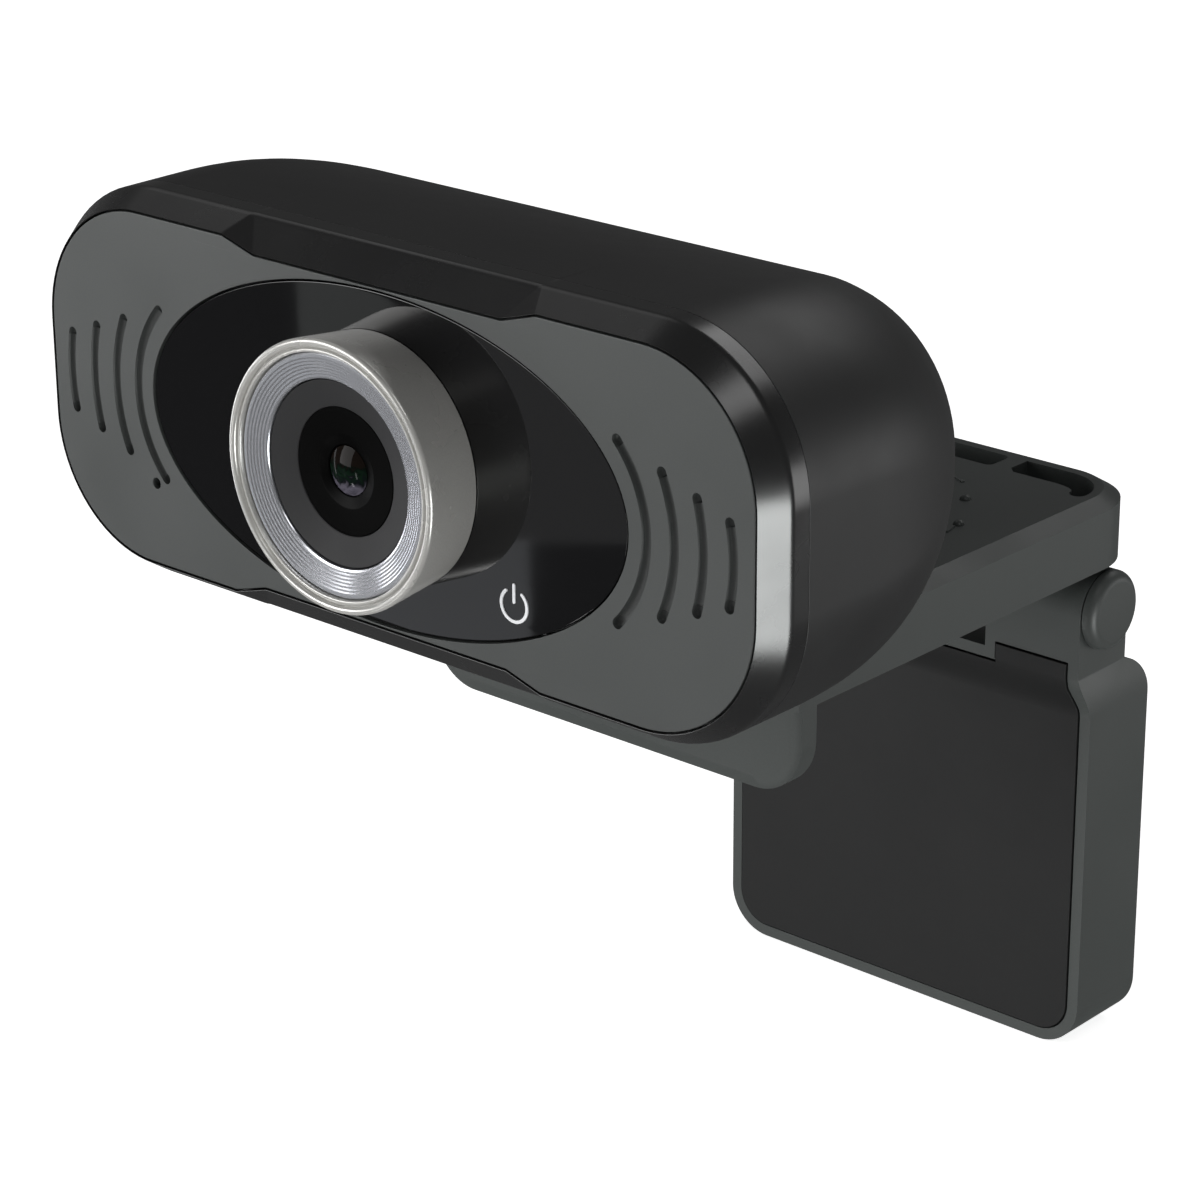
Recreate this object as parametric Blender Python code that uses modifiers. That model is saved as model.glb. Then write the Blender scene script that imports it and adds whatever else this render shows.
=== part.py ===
"""Clip-on webcam: a wide camera head on a folding monitor clip.

Frame: +Z up, the lens looks along -Y, +X is to the right of someone who faces the lens.
The origin is on the swivel axis, on the lower face of the platform's rubber pad, which is
where the clip rests on the top edge of a monitor.  All sizes below are in millimetres.
"""
import math

import bmesh
import bpy
from mathutils import Matrix, Vector

MM = 0.001

# ---- fits -------------------------------------------------------------------------------
SEAT_GAP = 0.3          # between pieces that are fixed to each other
FINE_GAP = 0.12         # round flush trim, where the seam shows as a thin line
RUN_GAP = 0.35          # between pieces that turn in each other

# ---- camera head ------------------------------------------------------------------------
HEAD_HALF_W = 52.0
HEAD_HALF_H = 21.9
HEAD_CORNER_R = 16.5
HEAD_DEPTH = 46.0       # front face to the back of the dome
HEAD_REACH = 68.3       # swivel axis to the front face
HEAD_LIFT = 1.3         # platform's top to the lowest point of the head
HEAD_WALL = 1.8
CHAMFER_W = 1.9         # how far the front face's outline stands inside the head's outline
CHAMFER_DEPTH = 3.0
BEZEL_DEPTH = 5.5
EDGE_DIP = 1.35         # the middle of the face's upper and lower edge steps in
DIP_FLAT_X = 17.5
DIP_END_X = 22.1
DIP_APEX_X = 20.3       # where the dip's three-cornered facet meets the chamfer's back edge
BACK_HALF_W = 30.0      # the flat middle of the dome's back
BACK_HALF_H = 5.9
DOME_SIDE_RUN = 30.0    # length over which the sides close in towards the back
DOME_TOP_RUN = 34.3     # and over which the top and bottom do

# ---- face, panel and slots --------------------------------------------------------------
PLATE_T = 1.5
WEB_T = 1.5
PANEL_HALF_W = 33.8
PANEL_FROM_TOP = 4.0    # gloss panel's edge, in from the top and bottom of the head
SLOT_W = 1.2
SLOT_DEPTH = 0.9
SLOTS = (               # middle x, half height, bow
    (36.35, 9.5, 3.8),
    (39.85, 7.45, 1.6),
    (43.45, 5.8, 0.75),
    (47.2, 4.3, 0.45),
)
MIC_X = -34.2
MIC_DROP = 10.4         # below the lens axis
MIC_HOLE_R = 0.55
SYMBOL_X = 18.65
SYMBOL_FROM_EDGE = 3.73 # middle of the symbol, straight up from the gloss panel's lower edge
SYMBOL_R = 1.75
SYMBOL_STROKE = 0.42

# ---- lens group -------------------------------------------------------------------------
RING_FRONT_R = 14.5
RING_BACK_R = 13.75
RING_LENGTH = 7.1
RING_BORE_R = 13.0
SPIGOT_R = 12.2
CONE_IN_R = 10.0
ANNULUS_IN_R = 6.85
LENS_R = 2.64
CONE_SETBACK = 1.5      # ring's front edge to the cone's inner edge
ANNULUS_SETBACK = 2.6
BARREL_R = 6.0
BOARD_HALF_W = 29.0
BOARD_HALF_H = 15.0
BOARD_T = 1.2
BOARD_SETBACK = 14.0    # behind the front face
HOLDER_HALF = 8.0

# ---- screws -----------------------------------------------------------------------------
SCREW_FROM_SIDE = 16.0
SCREW_FROM_TOP = 5.1
SCREW_SHANK_R = 1.0
SCREW_HEAD_R = 2.2
BOSS_R = 3.6
SCREW_LENGTH = 11.0

# ---- swivel and tilt --------------------------------------------------------------------
TURNTABLE_R = 17.0
TURNTABLE_T = 2.7
TURNTABLE_PROUD = 0.8
HUB_R = 5.5
HUB_WEB_T = 1.8
HUB_CAVITY_R = 9.5
TILT_FROM_BACK = 7.7    # tilt axis, ahead of the back of the dome
TILT_FROM_BOTTOM = 8.4  # tilt axis, above the lowest point of the head
TILT_BARREL_R = 5.0
TILT_BARREL_HALF = 8.0
TILT_PIN_R = 1.5
TILT_PIN_HALF = 15.0
ARM_T = 5.2
WASHER_T = 0.5
TILT_SLOT_DEG = 42.0    # the arm's slot opens this far above level, for the head's tilt

# ---- clip platform and lip --------------------------------------------------------------
CLIP_HALF_W = 27.5
PLATFORM_LENGTH = 66.4
PLATFORM_T = 8.5
PLATFORM_CORNER_R = 9.0
TOP_CHAMFER_W = 2.0
TOP_CHAMFER_H = 1.2
LIP_T = 3.1
LIP_DROP = 10.7         # below the platform's underside
LIP_CORNER_R = 6.5
LIP_CHAMFER_W = 1.5
LIP_CHAMFER_DEPTH = 0.6
PAD_PROUD = 0.4
PAD_T = 1.3
PLATFORM_PAD = (20.0, -26.0, 13.0)     # half width, front y, back y
LIP_PAD_HALF_W = 21.0
LIP_PAD_T = 0.8
POCKET_DEPTH = 4.4
POCKET_BEND = 3.4       # length over which a corner pocket widens from its end
POCKET_W = 4.3
POCKET_RIM = 1.4
POCKET_RIB = (9.6, 12.0)               # the rib between the pockets
POCKET_END_FROM_SIDE = 3.1
DETENT_R = 20.1
DETENT_BALL_R = 0.75
DETENT_DEGREES = (17.0, 42.5)

# ---- clip foot and its hinge ------------------------------------------------------------
HINGE_FROM_BACK = 7.5   # hinge axis, ahead of the platform's back
HINGE_BELOW = 5.6       # hinge axis, below the platform's underside
HINGE_R = 4.9
HINGE_PIN_R = 1.6
KNUCKLE_HALF = 12.4
EAR_IN_X = 13.1
EAR_INSET = 0.8         # ear's side, inside the foot's side
CAP_T = 1.6
CAP_FILLET = 1.3
FOOT_HALF_W = 27.5
FOOT_T = 12.2
FOOT_HEIGHT = 50.0      # shoulder to the lower edge
FOOT_FACE_AHEAD = 3.1   # foot's front face, ahead of the hinge axis
FOOT_CORNER_R = 5.8
SHOULDER_BELOW = 7.7    # shoulder, below the hinge axis
SHOULDER_R = 5.4
NOTCH_BELOW = 6.8       # floor between the ears, below the hinge axis
STEP_RUN = 5.8          # height over which the front face eases out to the ears
FOOT_PAD_MARGIN = 1.6
FOOT_PAD_T = 1.4
FOOT_PAD_PROUD = 0.2
FOOT_PAD_TAB_BELOW = 6.0

# ---- cord exit --------------------------------------------------------------------------
GROMMET_R = 4.4
GROMMET_NECK_R = 3.0
GROMMET_FLANGE_R = 3.8           # the flange inside the shell
GROMMET_FLANGE_T = 1.2
GROMMET_BORE_R = 1.9
GROMMET_LENGTH = 4.0

# ---- resolution -------------------------------------------------------------------------
CORNER_STEPS = 5
TURN_STEPS = 30         # large round faces
ROUND_STEPS = 18        # pins, washers, bosses
SMALL_STEPS = 10        # screw shanks and small holes
BEND_STEPS = 8          # slots and small fillets
ELLIPSE_STEPS = 44
DOME_STEPS = 8

# ---- places worked out from the sizes ---------------------------------------------------
UNDERSIDE_Z = PAD_PROUD
PLATFORM_TOP = UNDERSIDE_Z + PLATFORM_T
PLATFORM_FRONT = -PLATFORM_LENGTH / 2
PLATFORM_BACK = PLATFORM_LENGTH / 2
PANEL_HALF_H = HEAD_HALF_H - PANEL_FROM_TOP
SYMBOL_DROP = PANEL_HALF_H * math.sqrt(1 - (SYMBOL_X / PANEL_HALF_W) ** 2) - SYMBOL_FROM_EDGE
SCREW_X = HEAD_HALF_W - SCREW_FROM_SIDE
SCREW_Z = HEAD_HALF_H - SCREW_FROM_TOP
LENS_Z = PLATFORM_TOP + HEAD_LIFT + HEAD_HALF_H
FACE_Y = -HEAD_REACH
HEAD_BACK = FACE_Y + HEAD_DEPTH
BEZEL_BACK = FACE_Y + BEZEL_DEPTH
PLATE_BACK = FACE_Y + PLATE_T
WEB_FRONT = PLATE_BACK + SEAT_GAP
WEB_BACK = WEB_FRONT + WEB_T
RING_BACK_Y = FACE_Y - 0.2
RING_FRONT_Y = RING_BACK_Y - RING_LENGTH
BOARD_Y = FACE_Y + BOARD_SETBACK
TILT_Y = HEAD_BACK - TILT_FROM_BACK
TILT_Z = LENS_Z - HEAD_HALF_H + TILT_FROM_BOTTOM
POCKET_HALF_X = TILT_BARREL_HALF + WASHER_T + 2 * SEAT_GAP
TURNTABLE_TOP = PLATFORM_TOP + TURNTABLE_PROUD
TURNTABLE_FLOOR = TURNTABLE_TOP - TURNTABLE_T - RUN_GAP
HUB_WEB_BOTTOM = TURNTABLE_FLOOR - HUB_WEB_T
HINGE_Y = PLATFORM_BACK - HINGE_FROM_BACK
HINGE_Z = UNDERSIDE_Z - HINGE_BELOW
EAR_OUT_X = FOOT_HALF_W - EAR_INSET
FOOT_FACE_Y = HINGE_Y - FOOT_FACE_AHEAD
FOOT_BACK_Y = FOOT_FACE_Y + FOOT_T
SHOULDER_Z = HINGE_Z - SHOULDER_BELOW
FOOT_BOTTOM = SHOULDER_Z - FOOT_HEIGHT
LIP_BACK = PLATFORM_FRONT + LIP_T
LIP_BOTTOM = UNDERSIDE_Z - LIP_DROP

AXIS_TURN = {           # turns a piece made along Z so that it lies along the named axis
    "X": Matrix.Rotation(math.radians(90), 4, "Y"),
    "Y": Matrix.Rotation(math.radians(-90), 4, "X"),
    "Z": Matrix.Identity(4),
}


# ---- scene and small helpers ------------------------------------------------------------
def clear_scene():
    for obj in list(bpy.data.objects):
        bpy.data.objects.remove(obj, do_unlink=True)


def new_collection(name):
    group = bpy.data.collections.new(name)
    bpy.context.scene.collection.children.link(group)
    return group


clear_scene()
WEBCAM = new_collection("webcam")


def make_material(name, colour, roughness, metallic=0.0):
    made = bpy.data.materials.new(name)
    made.use_nodes = True
    shader = made.node_tree.nodes["Principled BSDF"]
    shader.inputs["Base Color"].default_value = (*colour, 1.0)
    shader.inputs["Roughness"].default_value = roughness
    shader.inputs["Metallic"].default_value = metallic
    return made


MATERIALS = {
    "face_grey": make_material("face_grey", (0.080, 0.088, 0.086), 0.5),
    "shell_black": make_material("shell_black", (0.022, 0.022, 0.023), 0.42),
    "clip_grey": make_material("clip_grey", (0.055, 0.062, 0.060), 0.48),
    "gloss_black": make_material("gloss_black", (0.010, 0.010, 0.012), 0.06),
    "ring_metal": make_material("ring_metal", (0.62, 0.62, 0.63), 0.22, 1.0),
    "dark_trim": make_material("dark_trim", (0.030, 0.030, 0.033), 0.38),
    "lens_glass": make_material("lens_glass", (0.02, 0.05, 0.04), 0.03),
    "rubber": make_material("rubber", (0.020, 0.020, 0.020), 0.75),
    "steel": make_material("steel", (0.55, 0.55, 0.56), 0.3, 1.0),
    "board_green": make_material("board_green", (0.02, 0.10, 0.05), 0.45),
    "chip_black": make_material("chip_black", (0.015, 0.015, 0.016), 0.35),
    "light_white": make_material("light_white", (0.85, 0.86, 0.88), 0.35),
}


def finish_mesh(bm, name):
    """Turn a bmesh into an object with outward faces."""
    bmesh.ops.remove_doubles(bm, verts=bm.verts, dist=1e-6)
    bmesh.ops.recalc_face_normals(bm, faces=bm.faces)
    mesh = bpy.data.meshes.new(name)
    bm.to_mesh(mesh)
    bm.free()
    obj = bpy.data.objects.new(name, mesh)
    WEBCAM.objects.link(obj)
    return obj


def bake(obj):
    """Replace an object by its evaluated mesh, welded and facing out."""
    graph = bpy.context.evaluated_depsgraph_get()
    bm = bmesh.new()
    bm.from_mesh(bpy.data.meshes.new_from_object(obj.evaluated_get(graph)))
    bm.transform(obj.matrix_world)
    name = obj.name
    bpy.data.objects.remove(obj, do_unlink=True)
    return finish_mesh(bm, name)


def combine(target, tool, operation, solver="EXACT"):
    """Boolean of target with tool, which is used up."""
    modifier = target.modifiers.new("combine", "BOOLEAN")
    modifier.operation = operation
    modifier.object = tool
    modifier.solver = solver
    bpy.context.view_layer.update()
    result = bake(target)
    bpy.data.objects.remove(tool, do_unlink=True)
    return result


def cut(target, *tools, solver="EXACT"):
    for tool in tools:
        target = combine(target, tool, "DIFFERENCE", solver)
    return target


def join(target, *tools, solver="EXACT"):
    for tool in tools:
        target = combine(target, tool, "UNION", solver)
    return target


def keep_common(target, tool):
    return combine(target, tool, "INTERSECT")


def dress(obj, name, material, parent=None):
    """Name a finished piece, give it its material, and shade its round faces smooth."""
    obj.name = name
    obj.data.name = name
    obj.data.materials.clear()
    obj.data.materials.append(MATERIALS[material])
    obj.data.shade_smooth()
    obj.data.set_sharp_from_angle(angle=math.radians(35))
    if parent is not None:
        obj.parent = parent
        obj.matrix_parent_inverse = parent.matrix_world.inverted()
    return obj


def joint_marker(name, place):
    empty = bpy.data.objects.new(name, None)
    empty.location = Vector(place) * MM
    WEBCAM.objects.link(empty)
    bpy.context.view_layer.update()
    return empty


# ---- solids -----------------------------------------------------------------------------
def block(low, high):
    bm = bmesh.new()
    size = [(h - l) * MM for l, h in zip(low, high)]
    middle = [(h + l) / 2 * MM for l, h in zip(low, high)]
    bmesh.ops.create_cube(bm, size=1.0, matrix=Matrix.Translation(middle) @ Matrix.Diagonal((*size, 1.0)))
    return finish_mesh(bm, "block")


def rod(radius, axis, start, end, across, steps=TURN_STEPS, end_radius=None):
    """A cylinder or cone along an axis, from start to end; across holds the other two places."""
    bm = bmesh.new()
    length = (end - start) * MM
    bmesh.ops.create_cone(
        bm, cap_ends=True, segments=steps, radius1=radius * MM,
        radius2=(radius if end_radius is None else end_radius) * MM, depth=length,
        matrix=AXIS_TURN[axis] @ Matrix.Translation((0, 0, length / 2)))
    place = list(across)
    place.insert("XYZ".index(axis), start)
    bm.transform(Matrix.Translation(Vector(place) * MM))
    return finish_mesh(bm, "rod")


def turned(profile, axis, across, steps=TURN_STEPS):
    """A ring turned from a closed profile of (radius, place along the axis)."""
    mesh = bpy.data.meshes.new("profile")
    points = [(r * MM, 0, z * MM) for r, z in profile]
    edges = [(i, (i + 1) % len(points)) for i in range(len(points))]
    if min(r for r, _ in profile) == 0:
        edges.pop()
    mesh.from_pydata(points, edges, [])
    obj = bpy.data.objects.new("turned", mesh)
    WEBCAM.objects.link(obj)
    screw = obj.modifiers.new("turn", "SCREW")
    screw.steps = screw.render_steps = steps
    screw.use_merge_vertices = True
    screw.merge_threshold = 1e-6
    place = list(across)
    place.insert("XYZ".index(axis), 0.0)
    obj.matrix_world = Matrix.Translation(Vector(place) * MM) @ AXIS_TURN[axis]
    bpy.context.view_layer.update()
    return bake(obj)


def plate(outlines, axis, low, high):
    """A flat outline, with any holes, made solid from low to high along an axis."""
    curve = bpy.data.curves.new("plate", "CURVE")
    curve.dimensions = "2D"
    curve.fill_mode = "BOTH"
    curve.extrude = (high - low) / 2 * MM
    for outline in outlines:
        spline = curve.splines.new("POLY")
        spline.points.add(len(outline) - 1)
        for point, (u, v) in zip(spline.points, outline):
            point.co = (u * MM, v * MM, 0, 1)
        spline.use_cyclic_u = True
    obj = bpy.data.objects.new("plate", curve)
    WEBCAM.objects.link(obj)
    middle = (high + low) / 2 * MM
    turn = {
        "X": Matrix(((0, 0, 1, middle), (1, 0, 0, 0), (0, 1, 0, 0), (0, 0, 0, 1))),
        "Y": Matrix(((1, 0, 0, 0), (0, 0, -1, middle), (0, 1, 0, 0), (0, 0, 0, 1))),
        "Z": Matrix.Translation((0, 0, middle)),
    }[axis]
    obj.matrix_world = turn
    bpy.context.view_layer.update()
    return bake(obj)


def loft(sections):
    """A closed solid through outlines that have the same number of points."""
    bm = bmesh.new()
    rings = [[bm.verts.new(Vector(p) * MM) for p in section] for section in sections]
    for near, far in zip(rings, rings[1:]):
        for i in range(len(near)):
            j = (i + 1) % len(near)
            bm.faces.new((near[i], near[j], far[j], far[i]))
    bm.faces.new(rings[0])
    bm.faces.new(rings[-1])
    return finish_mesh(bm, "loft")


# ---- outlines ---------------------------------------------------------------------------
def arc(centre, radius, start, end, steps=CORNER_STEPS):
    points = []
    for i in range(steps + 1):
        angle = math.radians(start + (end - start) * i / steps)
        points.append((centre[0] + radius * math.cos(angle), centre[1] + radius * math.sin(angle)))
    return points


def rounded_rectangle(left, right, bottom, top, radii):
    """Corner radii run anticlockwise from the upper right; a radius of 0 is a sharp corner."""
    corners = (
        (right, top, -1, -1, 0),
        (left, top, 1, -1, 90),
        (left, bottom, 1, 1, 180),
        (right, bottom, -1, 1, 270),
    )
    points = []
    for (x, y, sx, sy, start), radius in zip(corners, radii):
        if radius:
            points += arc((x + sx * radius, y + sy * radius), radius, start, start + 90)
        else:
            points.append((x, y))
    return points


def ellipse(half_w, half_h, centre=(0.0, 0.0), steps=ELLIPSE_STEPS):
    turns = [2 * math.pi * i / steps for i in range(steps)]
    return [(centre[0] + half_w * math.cos(t), centre[1] + half_h * math.sin(t)) for t in turns]


def head_outline(half_w, half_h, corner_r, dip=0.0):
    """The head's section: a rounded rectangle whose long edges can step in at the middle."""
    straight = half_w - corner_r
    end_x = min(DIP_END_X if dip else DIP_APEX_X + 0.3, 0.9 * straight)
    flat_x = min(DIP_FLAT_X if dip else DIP_APEX_X - 0.3, 0.8 * straight)
    upper = [(end_x, half_h), (flat_x, half_h - dip), (-flat_x, half_h - dip), (-end_x, half_h)]
    centre_z = half_h - corner_r
    points = arc((straight, centre_z), corner_r, 0, 90) + upper
    points += arc((-straight, centre_z), corner_r, 90, 180)
    points += arc((-straight, -centre_z), corner_r, 180, 270)
    points += [(-x, -z) for x, z in upper]
    points += arc((straight, -centre_z), corner_r, 270, 360)
    return points


def face_outline(inset=0.0):
    inset += CHAMFER_W
    return head_outline(HEAD_HALF_W - inset, HEAD_HALF_H - inset, HEAD_CORNER_R - inset, EDGE_DIP)


def at_lens(outline):
    return [(x, z + LENS_Z) for x, z in outline]


def section_at(y, outline):
    return [(x, y, z + LENS_Z) for x, z in outline]


def ease(run, inset, distance):
    """How far a quarter ellipse has closed in, at a distance along its run."""
    share = min(max(distance / run, 0.0), 1.0)
    return inset * (1 - math.sqrt(1 - share * share))


def dome_section(y, wall):
    """The rear shell's section at y; wall moves it inwards, all round and at the back."""
    back = HEAD_BACK - wall
    side_in = ease(DOME_SIDE_RUN, HEAD_HALF_W - BACK_HALF_W, y - back + DOME_SIDE_RUN)
    top_in = ease(DOME_TOP_RUN, HEAD_HALF_H - BACK_HALF_H, y - back + DOME_TOP_RUN)
    half_w = HEAD_HALF_W - wall - side_in
    half_h = HEAD_HALF_H - wall - top_in
    corner_r = min(HEAD_CORNER_R - wall, half_h * 0.95, half_w * 0.95)
    return section_at(y, head_outline(half_w, half_h, corner_r))


def dome(front, wall):
    """The rear shell's form as a solid, from a flat front to the back."""
    back = HEAD_BACK - wall
    start = max(back - DOME_TOP_RUN, front)
    places = [front] if start > front else []
    for i in range(DOME_STEPS + 1):
        places.append(start + (back - start) * math.sin(math.pi / 2 * i / DOME_STEPS))
    return loft([dome_section(y, wall) for y in places])


def slot_outline(middle_x, half_height, bow, side):
    """A curved slot with round ends; it bows outwards, away from the lens."""
    radius = (half_height ** 2 + bow ** 2) / (2 * bow)
    reach = math.degrees(math.asin(half_height / radius))
    centre = (middle_x - radius, 0.0)
    outer = arc(centre, radius + SLOT_W / 2, -reach, reach, BEND_STEPS)
    inner = arc(centre, radius - SLOT_W / 2, reach, -reach, BEND_STEPS)
    ends = []
    for angle in (reach, -reach):
        a = math.radians(angle)
        middle = (centre[0] + radius * math.cos(a), centre[1] + radius * math.sin(a))
        first = angle if angle > 0 else angle - 180
        ends.append(arc(middle, SLOT_W / 2, first, first + 180, 4)[1:-1])
    points = outer + ends[0] + inner + ends[1]
    return [(side * x, z) for x, z in points]


# ---- camera head ------------------------------------------------------------------------
def screw_places():
    return [(sx * SCREW_X, LENS_Z + sz * SCREW_Z) for sx in (-1, 1) for sz in (-1, 1)]


def make_front_bezel():
    sections = [
        section_at(FACE_Y, face_outline()),
        section_at(FACE_Y + CHAMFER_DEPTH, head_outline(HEAD_HALF_W, HEAD_HALF_H, HEAD_CORNER_R)),
        section_at(BEZEL_BACK, head_outline(HEAD_HALF_W, HEAD_HALF_H, HEAD_CORNER_R)),
    ]
    bezel = loft(sections)
    recess = plate([at_lens(face_outline(FINE_GAP * 4))], "Y", FACE_Y - 1, WEB_FRONT)
    wall = HEAD_WALL
    room = at_lens(head_outline(HEAD_HALF_W - wall, HEAD_HALF_H - wall, HEAD_CORNER_R - wall))
    tools = [recess, plate([room], "Y", WEB_BACK, BEZEL_BACK + 1)]
    bezel = cut(bezel, *tools, solver="MANIFOLD")
    for place in screw_places():
        boss = rod(BOSS_R, "Y", WEB_BACK - 0.5, BEZEL_BACK, place, ROUND_STEPS)
        head_room = rod(SCREW_HEAD_R + SEAT_GAP, "Y", WEB_FRONT - 1, WEB_FRONT + 2.1, place, ROUND_STEPS)
        shank_room = rod(SCREW_SHANK_R + SEAT_GAP, "Y", WEB_FRONT, BEZEL_BACK + 1, place, SMALL_STEPS)
        bezel = join(bezel, boss, solver="MANIFOLD")
        bezel = cut(bezel, head_room, shank_room, solver="MANIFOLD")
    spigot_room = rod(SPIGOT_R + SEAT_GAP, "Y", WEB_FRONT - 1, WEB_BACK + 1, (0, LENS_Z))
    mic = rod(MIC_HOLE_R + 0.4, "Y", WEB_FRONT - 1, WEB_BACK + 1, (MIC_X, LENS_Z - MIC_DROP), SMALL_STEPS)
    half = SYMBOL_R + 1.6
    low = (SYMBOL_X - half, WEB_FRONT - 1, LENS_Z - SYMBOL_DROP - half)
    high = (SYMBOL_X + half, WEB_BACK + 1, LENS_Z - SYMBOL_DROP + half)
    return cut(bezel, spigot_room, mic, block(low, high), solver="MANIFOLD")


def make_face_plate():
    outlines = [
        face_outline(FINE_GAP * 5),
        ellipse(PANEL_HALF_W + FINE_GAP, PANEL_HALF_H + FINE_GAP),
        ellipse(MIC_HOLE_R, MIC_HOLE_R, (MIC_X, -MIC_DROP), SMALL_STEPS),
    ]
    face = plate([at_lens(o) for o in outlines], "Y", FACE_Y, PLATE_BACK)
    grooves = [at_lens(slot_outline(*slot, side)) for slot in SLOTS for side in (-1, 1)]
    return cut(face, plate(grooves, "Y", FACE_Y - 1, FACE_Y + SLOT_DEPTH))


def symbol_outlines(stroke):
    """The power symbol: an open circle and a bar through its gap."""
    gap = 38
    centre = (SYMBOL_X, -SYMBOL_DROP)
    outer = arc(centre, SYMBOL_R + stroke / 2, 90 + gap, 450 - gap, ROUND_STEPS)
    inner = arc(centre, SYMBOL_R - stroke / 2, 450 - gap, 90 + gap, ROUND_STEPS)
    half = stroke / 2
    low = -SYMBOL_DROP + 0.35 - half
    high = -SYMBOL_DROP + SYMBOL_R + 0.45 + half
    bar = rounded_rectangle(SYMBOL_X - half, SYMBOL_X + half, low, high, (0, 0, 0, 0))
    return [outer + inner, bar]


def make_face_panel():
    hole_r = SPIGOT_R + SEAT_GAP
    outlines = [ellipse(PANEL_HALF_W, PANEL_HALF_H), ellipse(hole_r, hole_r, steps=TURN_STEPS)]
    outlines += symbol_outlines(SYMBOL_STROKE + 0.1)
    return plate([at_lens(o) for o in outlines], "Y", FACE_Y, PLATE_BACK)


def make_light_guide():
    """A clear block behind the panel, with the symbol raised through the panel's cut-outs."""
    back = PLATE_BACK + 0.2
    half = SYMBOL_R + 1.2
    low = (SYMBOL_X - half, back, LENS_Z - SYMBOL_DROP - half)
    high = (SYMBOL_X + half, WEB_BACK, LENS_Z - SYMBOL_DROP + half)
    guide = block(low, high)
    for outline in symbol_outlines(SYMBOL_STROKE):
        guide = join(guide, plate([at_lens(outline)], "Y", FACE_Y - 0.02, back + 0.4))
    return guide


def make_lens_ring():
    """Tapered metal ring with a rounded front bead, a step inside it and a spigot behind."""
    front, back = RING_FRONT_Y, RING_BACK_Y
    profile = [(RING_BACK_R, back), (SPIGOT_R, back), (SPIGOT_R, WEB_BACK), (SPIGOT_R - 1.0, WEB_BACK),
               (SPIGOT_R - 1.0, front + 3.5), (RING_BORE_R, front + 3.3), (RING_BORE_R, front + 0.7)]
    bead = (RING_FRONT_R + RING_BORE_R) / 2
    profile += [(r, y) for r, y in arc((bead, front + 0.75), (RING_FRONT_R - RING_BORE_R) / 2, 180, 360, BEND_STEPS)]
    profile.append((RING_FRONT_R - 0.02, front + 1.2))
    return turned(profile, "Y", (0, LENS_Z))


def make_ring_insert():
    outer_r = RING_BORE_R - FINE_GAP
    front = RING_FRONT_Y
    profile = [(outer_r, front + 0.8), (outer_r, front + 2.9), (CONE_IN_R, front + 2.9),
               (CONE_IN_R, front + CONE_SETBACK), (outer_r - 0.5, front + 0.8)]
    return turned(profile, "Y", (0, LENS_Z))


def make_lens_annulus():
    outer_r = CONE_IN_R - FINE_GAP
    front = RING_FRONT_Y
    profile = [(outer_r, front + CONE_SETBACK), (outer_r, front + 3.9), (ANNULUS_IN_R, front + 3.9),
               (ANNULUS_IN_R, front + ANNULUS_SETBACK)]
    return turned(profile, "Y", (0, LENS_Z))


def make_lens_disc():
    outer_r = ANNULUS_IN_R - FINE_GAP
    front = RING_FRONT_Y
    inner_r = LENS_R + FINE_GAP
    profile = [(outer_r, front + ANNULUS_SETBACK), (outer_r, front + 3.9), (inner_r, front + 3.9),
               (inner_r, front + ANNULUS_SETBACK + 0.4)]
    return turned(profile, "Y", (0, LENS_Z))


def lens_solid(radius, edge_y, crown, thickness):
    """A plano-convex glass element: its front bulges by crown ahead of its edge."""
    bulge = (radius ** 2 + crown ** 2) / (2 * crown)
    reach = math.degrees(math.asin(radius / bulge))
    front = [(r, y) for r, y in arc((0.0, edge_y - crown + bulge), bulge, -90, -90 + reach, BEND_STEPS)]
    front[0] = (0.0, edge_y - crown)
    profile = front + [(radius, edge_y + thickness), (0.0, edge_y + thickness)]
    return turned(profile, "Y", (0, LENS_Z), ROUND_STEPS)


def make_lens_barrel():
    front = RING_FRONT_Y + 3.9 + SEAT_GAP
    back = BOARD_Y - 2.6
    profile = [(BARREL_R, front), (BARREL_R, back), (BARREL_R - 1.2, back), (BARREL_R - 1.2, front + 2.2),
               (LENS_R + 0.3, front + 2.2), (LENS_R + 0.3, front)]
    return turned(profile, "Y", (0, LENS_Z))


def make_lens_holder():
    """A square foot on the board with a round tower that the barrel screws into."""
    foot_back = BOARD_Y - SEAT_GAP
    low = (-HOLDER_HALF, foot_back - 3.0, LENS_Z - HOLDER_HALF)
    high = (HOLDER_HALF, foot_back, LENS_Z + HOLDER_HALF)
    foot = block(low, high)
    tower = rod(BARREL_R + 1.7, "Y", WEB_BACK + 0.5, foot_back - 2.5, (0, LENS_Z))
    holder = join(foot, tower)
    holder = cut(holder, rod(BARREL_R + SEAT_GAP, "Y", WEB_BACK - 1, foot_back - 2.2, (0, LENS_Z)))
    return cut(holder, block((-4.6, foot_back - 2.9, LENS_Z - 4.6), (4.6, foot_back + 1, LENS_Z + 4.6)))


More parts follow.
